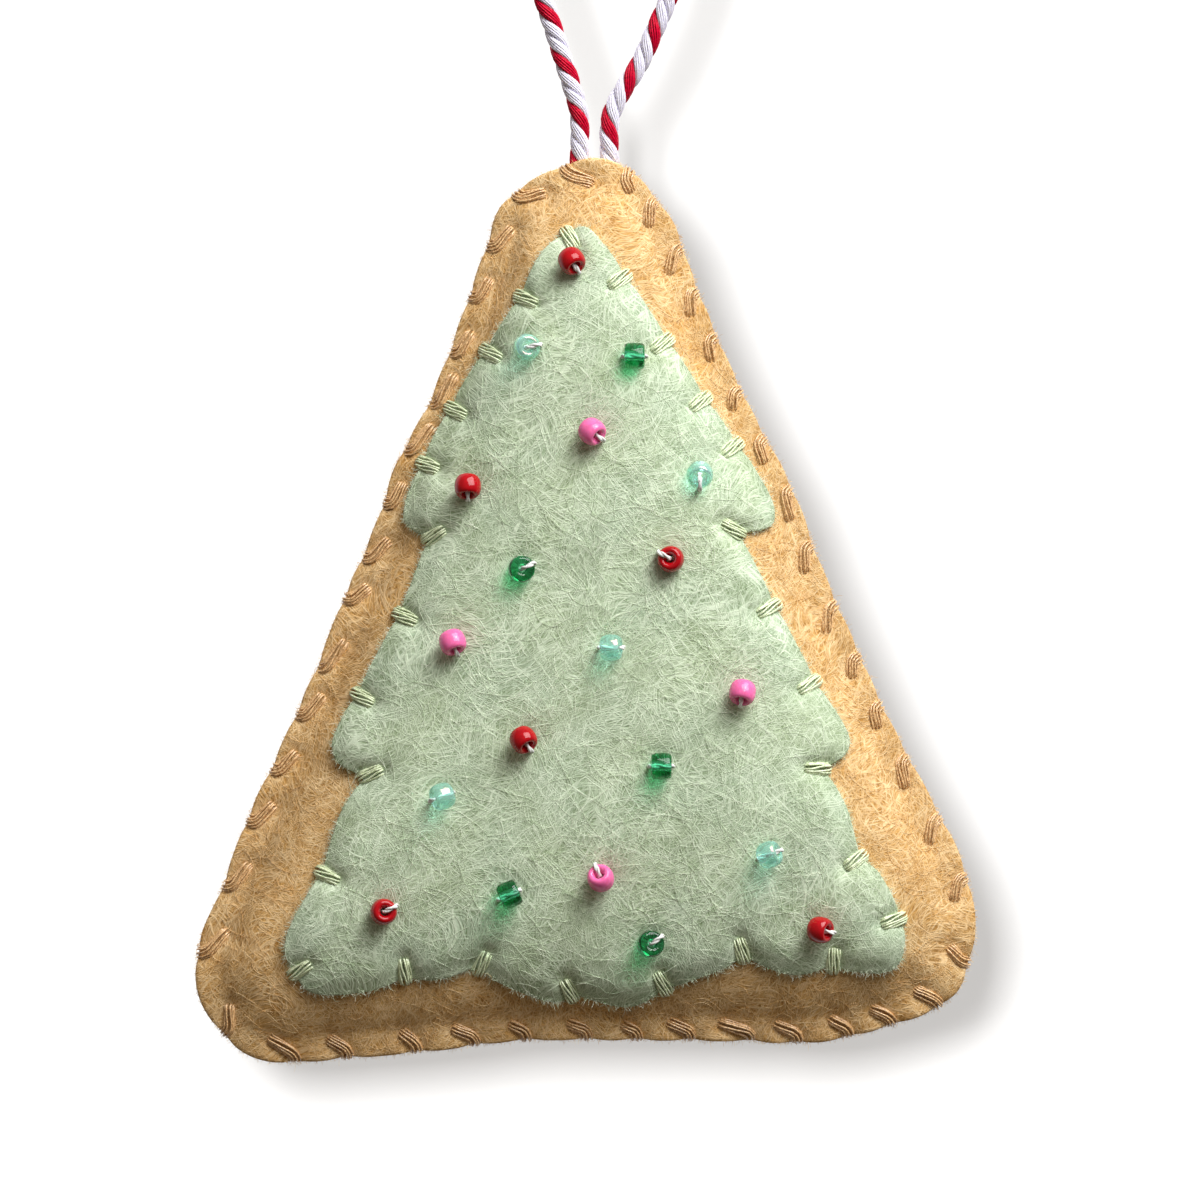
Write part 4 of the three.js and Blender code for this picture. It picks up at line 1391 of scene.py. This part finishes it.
@dataclass
class EdgeStitching:
    """The tan whip stitches that close the rim."""

    form: CookieForm
    skin: Skin
    sink: float = 0.9 * MM
    pivot: float = 0.9 * MM
    shallowest: float = 0.1 * MM
    deepest: float = 1.7 * MM
    looks: int = 9
    corner: float = 0.3 * MM
    places: int = 5
    roll: float = 1.7
    floss: Floss = field(default_factory=Floss)

    def crest(self, pivot: Points, out: Points, side: Side) -> list[tuple[Points, Points]]:
        """Finds where a panel's cut edge stands out farthest beside a place on the rim.

        Args:
            pivot: a place a little inside the rim.
            out: the direction out over the rim.
            side: the panel's side.

        Returns:
            The point and its normal, in a list.
        """
        met: list[tuple[Points, Points]] = []
        for depth in np.linspace(self.shallowest, self.deepest, self.looks):
            met += self.skin.met(upright(pivot[None], side * depth)[0], out)
        return [max(met, key=lambda hit: hit[0] @ out)]

    def path(self, number: int) -> tuple[Points, Points]:
        """Reads a stitch's path off the felts, from its hole in front round the rim to the hole behind.

        Args:
            number: the stitch's number.

        Returns:
            The path's points and the felts' normals there.
        """
        rim = self.form.stitch_rims[number]
        inward = self.form.inward[rim]
        out = upright(-inward[None], 0.0)[0]
        pivot = self.form.ring[rim] + inward * self.pivot
        shares = np.linspace(0, 1, self.places)[:, None]
        holes = {Side.FRONT: self.form.stitch_holes[number], Side.BACK: self.form.stitch_holes[number - 1]}
        halves = []
        for side, hole in holes.items():
            away = np.array([0, side, 0])
            half = []
            for place in upright(hole + (pivot - hole) * shares, 0.0):
                half += self.skin.met(place, away)
            corner = upright(pivot[None], side * self.corner)[0]
            half += self.skin.met(corner, (out + away) / math.sqrt(2))
            halves.append(half + self.crest(pivot, out, side))
        points, normals = (np.array(rows) for rows in zip(*halves[0], *halves[1][::-1]))
        return points, normals

    def build(self) -> bpy.types.Object:
        """Builds all the whip stitches as one piece."""
        made = Strands("tan_whip_stitches", self.floss.strand)
        for number in range(len(self.form.stitch_rims)):
            path, normals = self.path(number)
            path[1:-1] = (path[:-2] + 2 * path[1:-1] + path[2:]) / 4
            first, last = path[0] - self.sink * normals[0], path[-1] - self.sink * normals[-1]
            backward, forward = unit(path[:1] - path[1:2]), unit(path[-1:] - path[-2:-1])
            self.floss.lay(
                made, np.concatenate([[first], path, [last]]), np.concatenate([backward, normals, forward]),
                self.roll * number, True,
            )
        piece = as_mesh(made.build(TAN_FLOSS.make()))
        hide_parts("edge_thread")
        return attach(piece, "cookie")


@dataclass
class TreeStitching:
    """The pale green stitches that hold the tree down."""

    form: TreeForm
    relief: Relief
    sink: float = 0.8 * MM
    shares: tuple[float, ...] = (0, 0, 0.25, 0.5, 0.75, 0.9, 1.02, 1.04)
    top: int = 4
    rounding: float = 0.1 * MM
    fall: float = 0.75 * MM
    roll: float = 2.3
    floss: Floss = field(default_factory=lambda: Floss(strands=11, half_height=0.24 * MM))

    def build(self) -> bpy.types.Object:
        """Builds all the tree's stitches as one piece."""
        made = Strands("green_tree_stitches", self.floss.strand)
        for number, (inner, outer) in enumerate(zip(self.form.stitch_inner, self.form.stitch_outer)):
            plan = inner + (outer - inner) * np.array(self.shares)[:, None]
            over = self.relief.depth(plan)
            edge = self.top + 1
            over[0] = over[1] - self.sink
            over[edge:] = over[self.top] - np.array([self.rounding, self.fall, self.fall + self.sink])
            away = unit(upright((outer - inner)[None], 0.0))
            normals = np.tile([0.0, Side.FRONT, 0.0], (len(plan), 1))
            normals[0], normals[edge] = -away[0], unit(away + normals[:1])[0]
            normals[edge + 1:] = away[0]
            self.floss.lay(made, upright(plan, Side.FRONT * over), normals, self.roll * number, False)
        piece = as_mesh(made.build(GREEN_FLOSS.make()))
        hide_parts("tree_thread")
        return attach(piece, "cookie")


# Beads


@dataclass
class BeadWork:
    """The glass beads and the white thread that sews them on."""

    cookie: CookieForm
    relief: Relief
    radius: float = 1.18 * MM
    length: float = 1.8 * MM
    bore: float = 0.3 * MM
    roundness: float = 0.95
    cut_roundness: float = 0.6
    sides: int = 48
    profile: int = 28
    weld: float = 1e-7
    gap: float = 0.05 * MM
    thread: float = 0.125 * MM
    ply_offset: float = 0.1 * MM
    ply_pitch: float = 2.0 * MM
    clear: float = 0.1 * MM
    sag: float = 0.06 * MM
    tuck: float = 0.35 * MM
    touch: float = 0.05 * MM
    sink: float = 0.9 * MM
    steep: float = 60
    per_span: int = 8
    steps: int = 40

    def placed(self, place: BeadPlace) -> tuple[Points, Points, Points]:
        """Finds a bead's middle and directions.

        Args:
            place: the bead's row.

        Returns:
            The middle, the bore's direction, and the direction across the front.
        """
        lean, turn = math.radians(place.lean), math.radians(place.turn)
        across = np.array([math.cos(turn), 0, math.sin(turn)])
        axis = math.cos(lean) * across + math.sin(lean) * np.array([0, Side.FRONT, 0])
        plan = self.cookie.places([(place.across, place.up)])
        stands = self.radius * math.cos(lean) + self.length / 2 * math.sin(lean)
        return self.relief.on(plan, stands + self.gap)[0], axis, across

    def bead(
        self, name: str, place: BeadPlace, centre: Points, axis: Points, glass: bpy.types.Material,
    ) -> bpy.types.Object:
        """Turns one bead on its axis.

        Args:
            name: the piece's name.
            place: the bead's row.
            centre: its middle.
            axis: its bore's direction.
            glass: its material.

        Returns:
            The bead.
        """
        shape = bmesh.new()
        bmesh.ops.create_circle(shape, segments=self.profile, radius=1)
        roundness = self.cut_roundness if place.glass is Glass.GREEN else self.roundness
        wall = (self.radius - self.bore) / 2
        for corner in shape.verts:
            x, y = (math.copysign(abs(part) ** roundness, part) for part in corner.co[:2])
            corner.co = (self.bore + wall + wall * x, 0, self.length / 2 * y)
        bmesh.ops.spin(
            shape, geom=shape.verts[:] + shape.edges[:], cent=(0, 0, 0), axis=(0, 0, 1),
            angle=2 * math.pi, steps=self.sides, use_merge=True,
        )
        bmesh.ops.remove_doubles(shape, verts=shape.verts[:], dist=self.weld)
        bmesh.ops.recalc_face_normals(shape, faces=shape.faces[:])
        turn = Vector((0, 0, 1)).rotation_difference(Vector(axis)).to_matrix().to_4x4()
        bmesh.ops.transform(shape, verts=shape.verts[:], matrix=Matrix.Translation(centre) @ turn)
        mesh = mesh_from(shape, name)
        smooth_faces(mesh)
        return add_object(name, mesh, glass)

    def thread_route(self, place: BeadPlace, centre: Points, axis: Points, across: Points) -> Points:
        """Draws the thread from the felt through a bead's bore and back into the felt.

        Args:
            place: the bead's row.
            centre: its middle.
            axis: its bore's direction.
            across: the direction across the front.

        Returns:
            The thread's corners in order.
        """
        lean = math.radians(place.lean)
        down = math.sin(lean) * across - math.cos(lean) * np.array([0, Side.FRONT, 0])
        half, lip, spread = self.length / 2, (self.radius + self.bore) / 2, (self.radius - self.bore) / 2
        mouth = centre + axis * (half + self.clear)
        over = [
            centre, centre + axis * 0.8 * half + down * self.sag,
            mouth + down * (lip - self.tuck), mouth + down * (lip + self.touch),
            centre + axis * (0.7 * half + 0.4 * self.clear) + down * (lip + 0.7 * spread + self.clear),
        ]
        under = centre - axis * (half + self.clear)
        edge = over[-1] - self.clear * across
        rise, fall = under[[0, 2]][None], edge[[0, 2]][None]
        start = [self.relief.on(rise, -self.sink)[0], self.relief.on(rise, 0.0)[0], under]
        if place.lean > self.steep:
            start = [under - axis * self.sink, under]
        end = [self.relief.on(fall, self.touch)[0], self.relief.on(fall, -self.sink)[0]]
        return np.array([*start, *over, *end])

    def build(self) -> list[bpy.types.Object]:
        """Builds the beads and their thread."""
        glasses = {kind: finish.make() for kind, finish in GLASS.items()}
        counts = dict.fromkeys(Glass, 0)
        thread = Strands("bead_sewing_thread", self.thread)
        pieces = []
        for number, place in enumerate(BEADS):
            counts[place.glass] += 1
            node = f"{place.glass.value}_bead_{counts[place.glass]}"
            centre, axis, across = self.placed(place)
            piece = self.bead(f"glass_{node}", place, centre, axis, glasses[place.glass])
            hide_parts(node)
            pieces.append(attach(piece, "cookie"))
            route = self.thread_route(place, centre, axis, across)
            line = evenly(centripetal(route, self.per_span, False), self.steps)
            side, up = frames_along(line, np.array([0.3, 0.9, 0.3]))
            twist = 2 * math.pi * travel(line) / self.ply_pitch + number
            for ply in (0, math.pi):
                thread.add(line + self.ply_offset * around(twist + ply, side, up))
        sewn = as_mesh(thread.build(WHITE_THREAD.make()))
        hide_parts("bead_thread")
        pieces.append(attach(sewn, "cookie"))
        return pieces


# Loose fibres


@dataclass
class Fuzz:
    """Loose fibres on a felt, or along its cut edge."""

    name: str
    seed: int
    count: int
    length: float
    radius: float
    curl: float
    steps: int
    lift: float = 0.0
    length_spread: float = 0.35
    waver: float = 0.12
    taper: tuple[tuple[float, float], ...] = ((0, 0.35), (0.15, 1), (0.8, 0.9), (1, 0.25))
    tries: int = 5
    flow_size: float = 8 * MM
    flow_seed: float = 4.0
    flow_turn: float = 2.8
    lay_turn: float = 0.7
    lay_spread: float = 0.6
    bedding: float = 0.4
    rooted: tuple[float, float] = (0.05, 0.5)
    fan: float = 1.1
    drop: float = 0.25

    def __post_init__(self) -> None:
        """Seeds the fibres' own chance."""
        self.draw = np.random.default_rng(self.seed)

    def wander(self, starts: Points, heading: Points) -> Points:
        """Lets fibres wander over the front plane.

        Args:
            starts: where they start, across and up.
            heading: their first directions in radians.

        Returns:
            Their points, with the fibres along the first axis and their points along the second.
        """
        count = len(starts)
        bend = self.draw.normal(0, self.curl, count) / MM
        step = self.length * self.draw.lognormal(0, self.length_spread, count) / (self.steps - 1)
        rows = [starts]
        for _ in range(self.steps - 1):
            heading = heading + bend * step + self.draw.normal(0, self.waver, count)
            way = np.stack([np.cos(heading), np.sin(heading)], axis=1)
            rows.append(rows[-1] + step[:, None] * way)
        return np.stack(rows, axis=1)

    def made_of(self, lines: Points, finish: bpy.types.Material) -> bpy.types.Object:
        """Makes the piece from its fibres' points."""
        made = Strands(self.name, self.radius, resolution=0, capped=False)
        taper = np.interp(np.linspace(0, 1, self.steps), *zip(*self.taper))
        for line in lines:
            made.add(line, widths=taper)
        piece = made.build(finish)
        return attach(piece, "cookie")

    def scatter(
        self, ring: Points, keep_off: Points | None, relief: Relief, finish: bpy.types.Material,
    ) -> bpy.types.Object:
        """Scatters the fibres over the area inside a ring.

        Args:
            ring: the felt's cut line.
            keep_off: the cut line of what covers it, where nothing starts.
            relief: what the fibres lie on.
            finish: their material.

        Returns:
            The fibres as one piece.
        """
        starts = self.draw.uniform(ring.min(axis=0), ring.max(axis=0), (self.tries * self.count, 2))
        starts = starts[inside(ring, starts)]
        if keep_off is not None:
            starts = starts[~inside(keep_off, starts)]
        starts = starts[: self.count]
        count = len(starts)
        shift = Vector((self.flow_seed,) * 3)
        flow = np.array([noise.noise(Vector((x, z, 0)) / self.flow_size + shift) for x, z in starts])
        lay = self.draw.normal(self.lay_turn, self.lay_spread, count)
        heading = self.flow_turn * flow + lay + math.pi * self.draw.integers(0, 2, count)
        plan = self.wander(starts, heading)
        lift = self.lift * self.draw.exponential(1.0, count)
        arch = np.sin(np.pi * np.linspace(0, 1, self.steps))
        over = self.radius * self.bedding + lift[:, None] * arch
        lines = relief.on(plan.reshape(-1, 2), over.ravel()).reshape(count, self.steps, 3)
        end, middle = plan[:, -1], plan[:, self.steps // 2]
        within = inside(ring, end) & inside(ring, middle)
        if keep_off is not None:
            within &= ~inside(keep_off, end) & ~inside(keep_off, middle)
        return self.made_of(lines[within], finish)

    def fringe(
        self, ring: Points, depths: Sequence[Points], finish: bpy.types.Material,
    ) -> bpy.types.Object:
        """Lets fibres stand out of a cut edge.

        Args:
            ring: the felt's cut line.
            depths: the edge's lowest and highest depth at each point of the ring.
            finish: their material.

        Returns:
            The fibres as one piece.
        """
        inward = inward_of(ring)
        picks = self.draw.integers(0, len(ring), self.count)
        starts = ring[picks] + inward[picks] * self.draw.uniform(*self.rooted, (self.count, 1)) * MM
        out = -inward[picks]
        heading = np.arctan2(out[:, 1], out[:, 0]) + self.draw.normal(0, self.fan, self.count)
        plan = self.wander(starts, heading)
        low, high = (depth[picks] for depth in depths)
        first = low + (high - low) * self.draw.uniform(0, 1, self.count)
        drop = self.draw.normal(0.0, self.drop, self.count) * MM
        depth = first[:, None] + drop[:, None] * np.linspace(0, 1, self.steps)
        return self.made_of(upright(plan, depth), finish)


FRONT_STRAYS = Fuzz(
    "front_stray_fibres", seed=11, count=900, length=2.6 * MM, radius=0.016 * MM, curl=0.6, steps=8,
    lift=0.12 * MM,
)
BACK_STRAYS = Fuzz(
    "back_stray_fibres", seed=13, count=900, length=2.6 * MM, radius=0.016 * MM, curl=0.6, steps=8,
    lift=0.12 * MM,
)
TREE_STRAYS = Fuzz(
    "tree_stray_fibres", seed=15, count=1500, length=3.8 * MM, radius=0.016 * MM, curl=0.25, steps=8,
    lift=0.15 * MM,
)
RIM_FRINGE = Fuzz("rim_fuzz", seed=14, count=7500, length=0.33 * MM, radius=0.012 * MM, curl=1.0, steps=4)
TREE_FRINGE = Fuzz(
    "tree_edge_fuzz", seed=17, count=7000, length=0.45 * MM, radius=0.013 * MM, curl=1.0, steps=4,
)

# The depths between which the fringes' fibres root; the tree's are measured back from its face
RIM_FRINGE_DEPTHS = (-0.8 * MM, 0.8 * MM)
TREE_FRINGE_DEPTHS = (0.7 * MM, 0.05 * MM)
TREE_FRINGE_INSET = 0.4 * MM
TREE_FRINGE_COUNT = 2400


# The twine


@dataclass
class HangerTwine:
    """The loop of three-ply twine, one ply red and two white, and its knot inside the cookie."""

    rim_level: float
    diameter: float = 1.7 * MM
    pitch: float = 4.8 * MM
    yarns: int = 12
    yarn_pitch: float = 7.5 * MM
    yarn_radius: float = 0.105 * MM
    red_ply: float = 0.5 * MM
    white_ply: float = 0.47 * MM
    flatten: float = 0.8
    swing_height: float = 1.5 * MM
    bend_above: float = 2.6 * MM
    bend_below: float = 2.0 * MM
    start_turn: float = 1.15
    per_span: int = 12
    step: float = 0.36 * MM
    knot_depth: float = 11.5 * MM
    knot_setback: float = 0.9 * MM
    knot_width: float = 0.62 * MM
    knot_height: float = 0.52 * MM
    knot_thickness: float = 0.42 * MM
    knot_ply: float = 0.24 * MM
    knot_pitch: float = 3 * MM
    knot_steps: int = 120

    def route(self) -> Points:
        """Draws the twine's middle line from inside the seam up over the hook and back."""
        left = [(x * MM, y * MM, self.rim_level + z * MM) for x, y, z in TAIL_ROUTE]
        free = [(x * MM, 0.0, self.rim_level + z * MM) for x, z in LOOP_ROUTE]
        right = [(-x, y, z) for x, y, z in reversed(left)]
        line = centripetal(np.array(left + free + right), self.per_span, False)
        return evenly(line, round(travel(line)[-1] / self.step))

    def plies(self, line: Points, made: Strands) -> None:
        """Lays the three plies round the middle line, each of its own fine yarns."""
        side, up = frames_along(line, np.array([0, 1, 0]))
        reach = travel(line)
        for ply, radius in enumerate((self.red_ply, self.white_ply, self.white_ply)):
            turn = self.start_turn - 2 * math.pi * reach / self.pitch + 2 * math.pi * ply / 3
            out = around(turn, side, up)
            round_it = around(turn, up, -side)
            centre = line + (self.diameter / 2 - radius * self.flatten) * out
            spread = radius - self.yarn_radius
            for yarn in range(self.yarns):
                twist = 2 * math.pi * (reach / self.yarn_pitch + yarn / self.yarns) + ply
                outward = spread * (np.cos(twist) * self.flatten)[:, None] * out
                sideways = spread / self.flatten * np.sin(twist)[:, None] * round_it
                made.add(centre + (outward + sideways), 0 if ply else 1)

    def knot(self, materials: Sequence[bpy.types.Material]) -> bpy.types.Object:
        """Ties the knot that holds the twine inside the seam."""
        turns = np.linspace(0, 2 * math.pi, self.knot_steps)
        level = self.rim_level - self.knot_depth
        across = (np.sin(turns) + 2 * np.sin(2 * turns)) * self.knot_width
        height = (np.cos(turns) - 2 * np.cos(2 * turns)) * self.knot_height + level
        depth = self.knot_setback - np.sin(3 * turns) * self.knot_thickness
        line = np.stack([across, depth, height], axis=1)
        side, up = frames_along(line, np.array([0, 1, 0]))
        made = Strands("twine_knot", self.knot_ply)
        for ply in range(3):
            turn = 2 * math.pi * (travel(line) / self.knot_pitch + ply / 3)
            made.add(line + self.knot_ply * around(turn, side, up), 0 if ply else 1)
        piece = as_mesh(made.build(*materials))
        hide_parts("hanger_knot")
        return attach(piece, "cookie")

    def build(self) -> list[bpy.types.Object]:
        """Builds the twine and its knot."""
        materials = [WHITE_YARN.make(), RED_YARN.make()]
        line = self.route()
        made = Strands("hanging_twine", self.yarn_radius, resolution=0)
        self.plies(line, made)
        twine = as_mesh(made.build(*materials))
        level = self.rim_level + self.swing_height
        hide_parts("hanger_loop")
        level + self.bend_above
        level - self.bend_below
        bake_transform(twine)
        return [twine, self.knot(materials)]


# The studio


@dataclass
class Studio:
    """Camera, lamps, white wall and floor."""

    frame_width: float = 106.2 * MM
    centre_x: float = 0.49 * MM
    centre_z: float = -105.1 * MM
    lens: float = 300.0
    sensor: float = 36.0
    seen_from: float = 0.01
    seen_to: float = 10.0
    wall_distance: float = 95 * MM
    wall_top: float = 0.5
    half_width: float = 0.6
    floor_level: float = -240 * MM
    above: Colour = (0.36, 0.355, 0.345, 1)
    below: Colour = (0.085, 0.065, 0.045, 1)
    beside: Colour = (0.16, 0.125, 0.09, 1)
    behind: Colour = (0.34, 0.33, 0.31, 1)
    wash_shift: tuple[float, float] = (-33 * MM, 26 * MM)
    wash_size: float = 42 * MM
    wall_power: float = 10.0
    key_shift: tuple[float, float, float] = (0.24, -0.31, 0.42)
    key_power: float = 4.6
    key_size: float = 0.52
    glint_power: float = 1.3
    glint_size: float = 0.12
    back_shift: tuple[float, float, float] = (-0.25, 0.5, 0.3)
    back_power: float = 3.0
    from_below: tuple[float, float] = (-0.6, 0.8)
    from_front: tuple[float, float] = (-0.1, 0.5)
    from_middle: tuple[float, float] = (0.0, -0.8)
    beside_share: float = 0.7

    @property
    def distance(self) -> float:
        """Gives the camera's distance from the seam's plane."""
        return self.frame_width * self.lens / self.sensor

    def camera(self) -> None:
        """Sets the camera square to the front, framed as the photograph is."""
        data = bpy.data.cameras.new("camera")
        data.lens, data.sensor_width = self.lens, self.sensor
        data.clip_start, data.clip_end = self.seen_from, self.seen_to
        made = bpy.data.objects.new("camera", data)
        made.location = (self.centre_x, -self.distance, self.centre_z)
        made.rotation_euler = (math.pi / 2, 0, 0)
        bpy.context.scene.collection.objects.link(made)
        bpy.context.scene.camera = made

    def lamp(self, name: str, place: Vector, aim: Vector, size: float, power: float) -> bpy.types.Object:
        """Adds a soft square lamp.

        Args:
            name: the lamp's name.
            place: where it hangs.
            aim: what it points at.
            size: its width.
            power: its power in watts.

        Returns:
            The lamp.
        """
        data = bpy.data.lights.new(name, "AREA")
        data.shape, data.size, data.energy = "SQUARE", size, power
        made = bpy.data.objects.new(name, data)
        made.location = place
        made.rotation_euler = (aim - place).to_track_quat("-Z", "Y").to_euler()
        bpy.context.scene.collection.objects.link(made)
        return made

    def sheet(self, name: str, corners: Sequence[Vector], finish: bpy.types.Material) -> bpy.types.Object:
        """Adds one flat sheet of the backdrop from its four corners."""
        shape = bmesh.new()
        shape.faces.new([shape.verts.new(corner) for corner in corners])
        made = add_object(name, mesh_from(shape, name), finish)
        made.visible_diffuse = False
        made.visible_glossy = False
        made.visible_transmission = False
        made.visible_shadow = False
        return made

    def world(self) -> None:
        """Lights everything softly, less from below, and shows white behind it."""
        recipe = Recipe.world("studio")
        way = {0: recipe.node("ShaderNodeTexCoord", result="Generated")}
        rise = recipe.node("ShaderNodeSeparateXYZ", None, way, "Z").between(*self.from_below)
        back = recipe.node("ShaderNodeSeparateXYZ", None, way, "Y").between(*self.from_front)
        left = recipe.node("ShaderNodeSeparateXYZ", None, way, "X").between(*self.from_middle)
        room = recipe.mix(self.below, self.above, rise)
        room = recipe.mix(room, self.beside, left * self.beside_share)
        glow = recipe.mix(room, self.behind, back)
        light = recipe.node("ShaderNodeBackground", None, {"Color": glow})
        white = recipe.node("ShaderNodeBackground", None, {"Color": WHITE})
        camera, glossy, through = (
            recipe.node("ShaderNodeLightPath", result=f"Is {kind} Ray")
            for kind in ("Camera", "Glossy", "Transmission")
        )
        bounced = recipe.node("ShaderNodeLightPath", result="Diffuse Depth").between(0.0, 1.0)
        shown = camera.larger(glossy.larger(through) * (1 - bounced) * back)
        sky = recipe.node("ShaderNodeMixShader", None, {0: shown, 1: light, 2: white})
        bpy.context.scene.world = recipe.done(sky)

    def build(self) -> None:
        """Sets up the whole studio."""
        self.camera()
        self.world()
        finish = BackdropFinish().make()
        half, top = self.half_width, self.wall_top
        wall, floor = self.wall_distance, self.floor_level
        foot = [Vector((-half, wall, floor)), Vector((half, wall, floor))]
        head = [Vector((half, wall, top)), Vector((-half, wall, top))]
        near = [Vector((-half, -half, floor)), Vector((half, -half, floor))]
        sheets = [self.sheet("wall", foot + head, finish), self.sheet("floor", near + foot[::-1], finish)]
        middle = Vector((0, 0, self.centre_z))
        window, behind = middle + Vector(self.key_shift), middle + Vector(self.back_shift)
        keys = [
            self.lamp("key", window, middle, self.key_size, self.key_power),
            self.lamp("glint", window, middle, self.glint_size, self.glint_power),
            self.lamp("back", behind, middle, self.key_size, self.back_power),
        ]
        back = keys[-1]
        back.visible_camera = back.visible_glossy = back.visible_transmission = False
        across, up = self.wash_shift
        beside = Vector((self.centre_x + across, -self.distance, self.centre_z + up))
        wash = self.lamp("wall_wash", beside, middle, self.wash_size, self.wall_power)
        wash.visible_camera = False
        lit = bpy.data.collections.new("lit_by_wash")
        unlit = bpy.data.collections.new("unlit_by_key")
        for sheet in sheets:
            lit.objects.link(sheet)
            unlit.objects.link(sheet)
        wash.light_linking.receiver_collection = lit
        for key in keys:
            key.light_linking.receiver_collection = unlit
        for entry in unlit.collection_objects:
            entry.light_linking.link_state = "EXCLUDE"
        bpy.context.scene.view_settings.view_transform = "Standard"


def dress_with_fibres(
    form: CookieForm, tree_form: TreeForm, ahead: Relief, behind: Relief,
) -> list[bpy.types.Object]:
    """Lays loose fibres on the felts and along their cut edges.

    Args:
        form: the cookie's shape.
        tree_form: the tree's shape.
        ahead: the height of the front.
        behind: the height of the back.

    Returns:
        The pieces of fibres.
    """
    tan, mint = TAN_FUZZ.make(), MINT_FUZZ.make()
    tree_ring = evenly(tree_form.ring, TREE_FRINGE_COUNT, True)
    seat = ahead.depth(tree_ring + inward_of(tree_ring) * TREE_FRINGE_INSET)
    tree_edge = tuple(depth - seat for depth in TREE_FRINGE_DEPTHS)
    rim_edge = tuple(np.full(len(form.ring), depth) for depth in RIM_FRINGE_DEPTHS)
    return [
        FRONT_STRAYS.scatter(form.ring, tree_form.ring, ahead, tan),
        BACK_STRAYS.scatter(form.ring, None, behind, tan),
        RIM_FRINGE.fringe(form.ring, rim_edge, tan),
        TREE_STRAYS.scatter(tree_form.ring, None, ahead, mint),
        TREE_FRINGE.fringe(tree_ring, tree_edge, mint),
    ]


def report(pieces: Iterable[bpy.types.Object]) -> None:
    """Logs each piece with its number of triangles."""
    graph = bpy.context.evaluated_depsgraph_get()
    for piece in pieces:
        shown = piece.evaluated_get(graph)
        mesh = shown.to_mesh()
        LOG.info("built %s: %d triangles", piece.name, sum(len(face.vertices) - 2 for face in mesh.polygons))
        shown.to_mesh_clear()


def main() -> None:
    """Builds the ornament piece by piece."""
    logging.basicConfig(level=logging.INFO, format="%(message)s")
    Studio().build()
    form = CookieForm()
    report(HangerTwine(form.rim_level).build())
    panels = CookiePanels(form)
    felt = TAN_FELT.make()
    front = panels.build("front_felt", "front_panel", Side.FRONT, seed=1.0, felt=felt)
    back = panels.build("back_felt", "back_panel", Side.BACK, seed=2.0, felt=felt)
    tree_form = TreeForm(form)
    tree = TreePiece(tree_form, Relief.read(Side.FRONT, [front])).build()
    report([front, back, Filling().build(), tree])
    ahead = Relief.read(Side.FRONT, [front, tree])
    behind = Relief.read(Side.BACK, [back])
    skin = Skin.of([front, back])
    report([EdgeStitching(form, skin).build(), TreeStitching(tree_form, ahead).build()])
    report(BeadWork(form, ahead).build())
    report(dress_with_fibres(form, tree_form, ahead, behind))


if __name__ == "__main__":
    main()
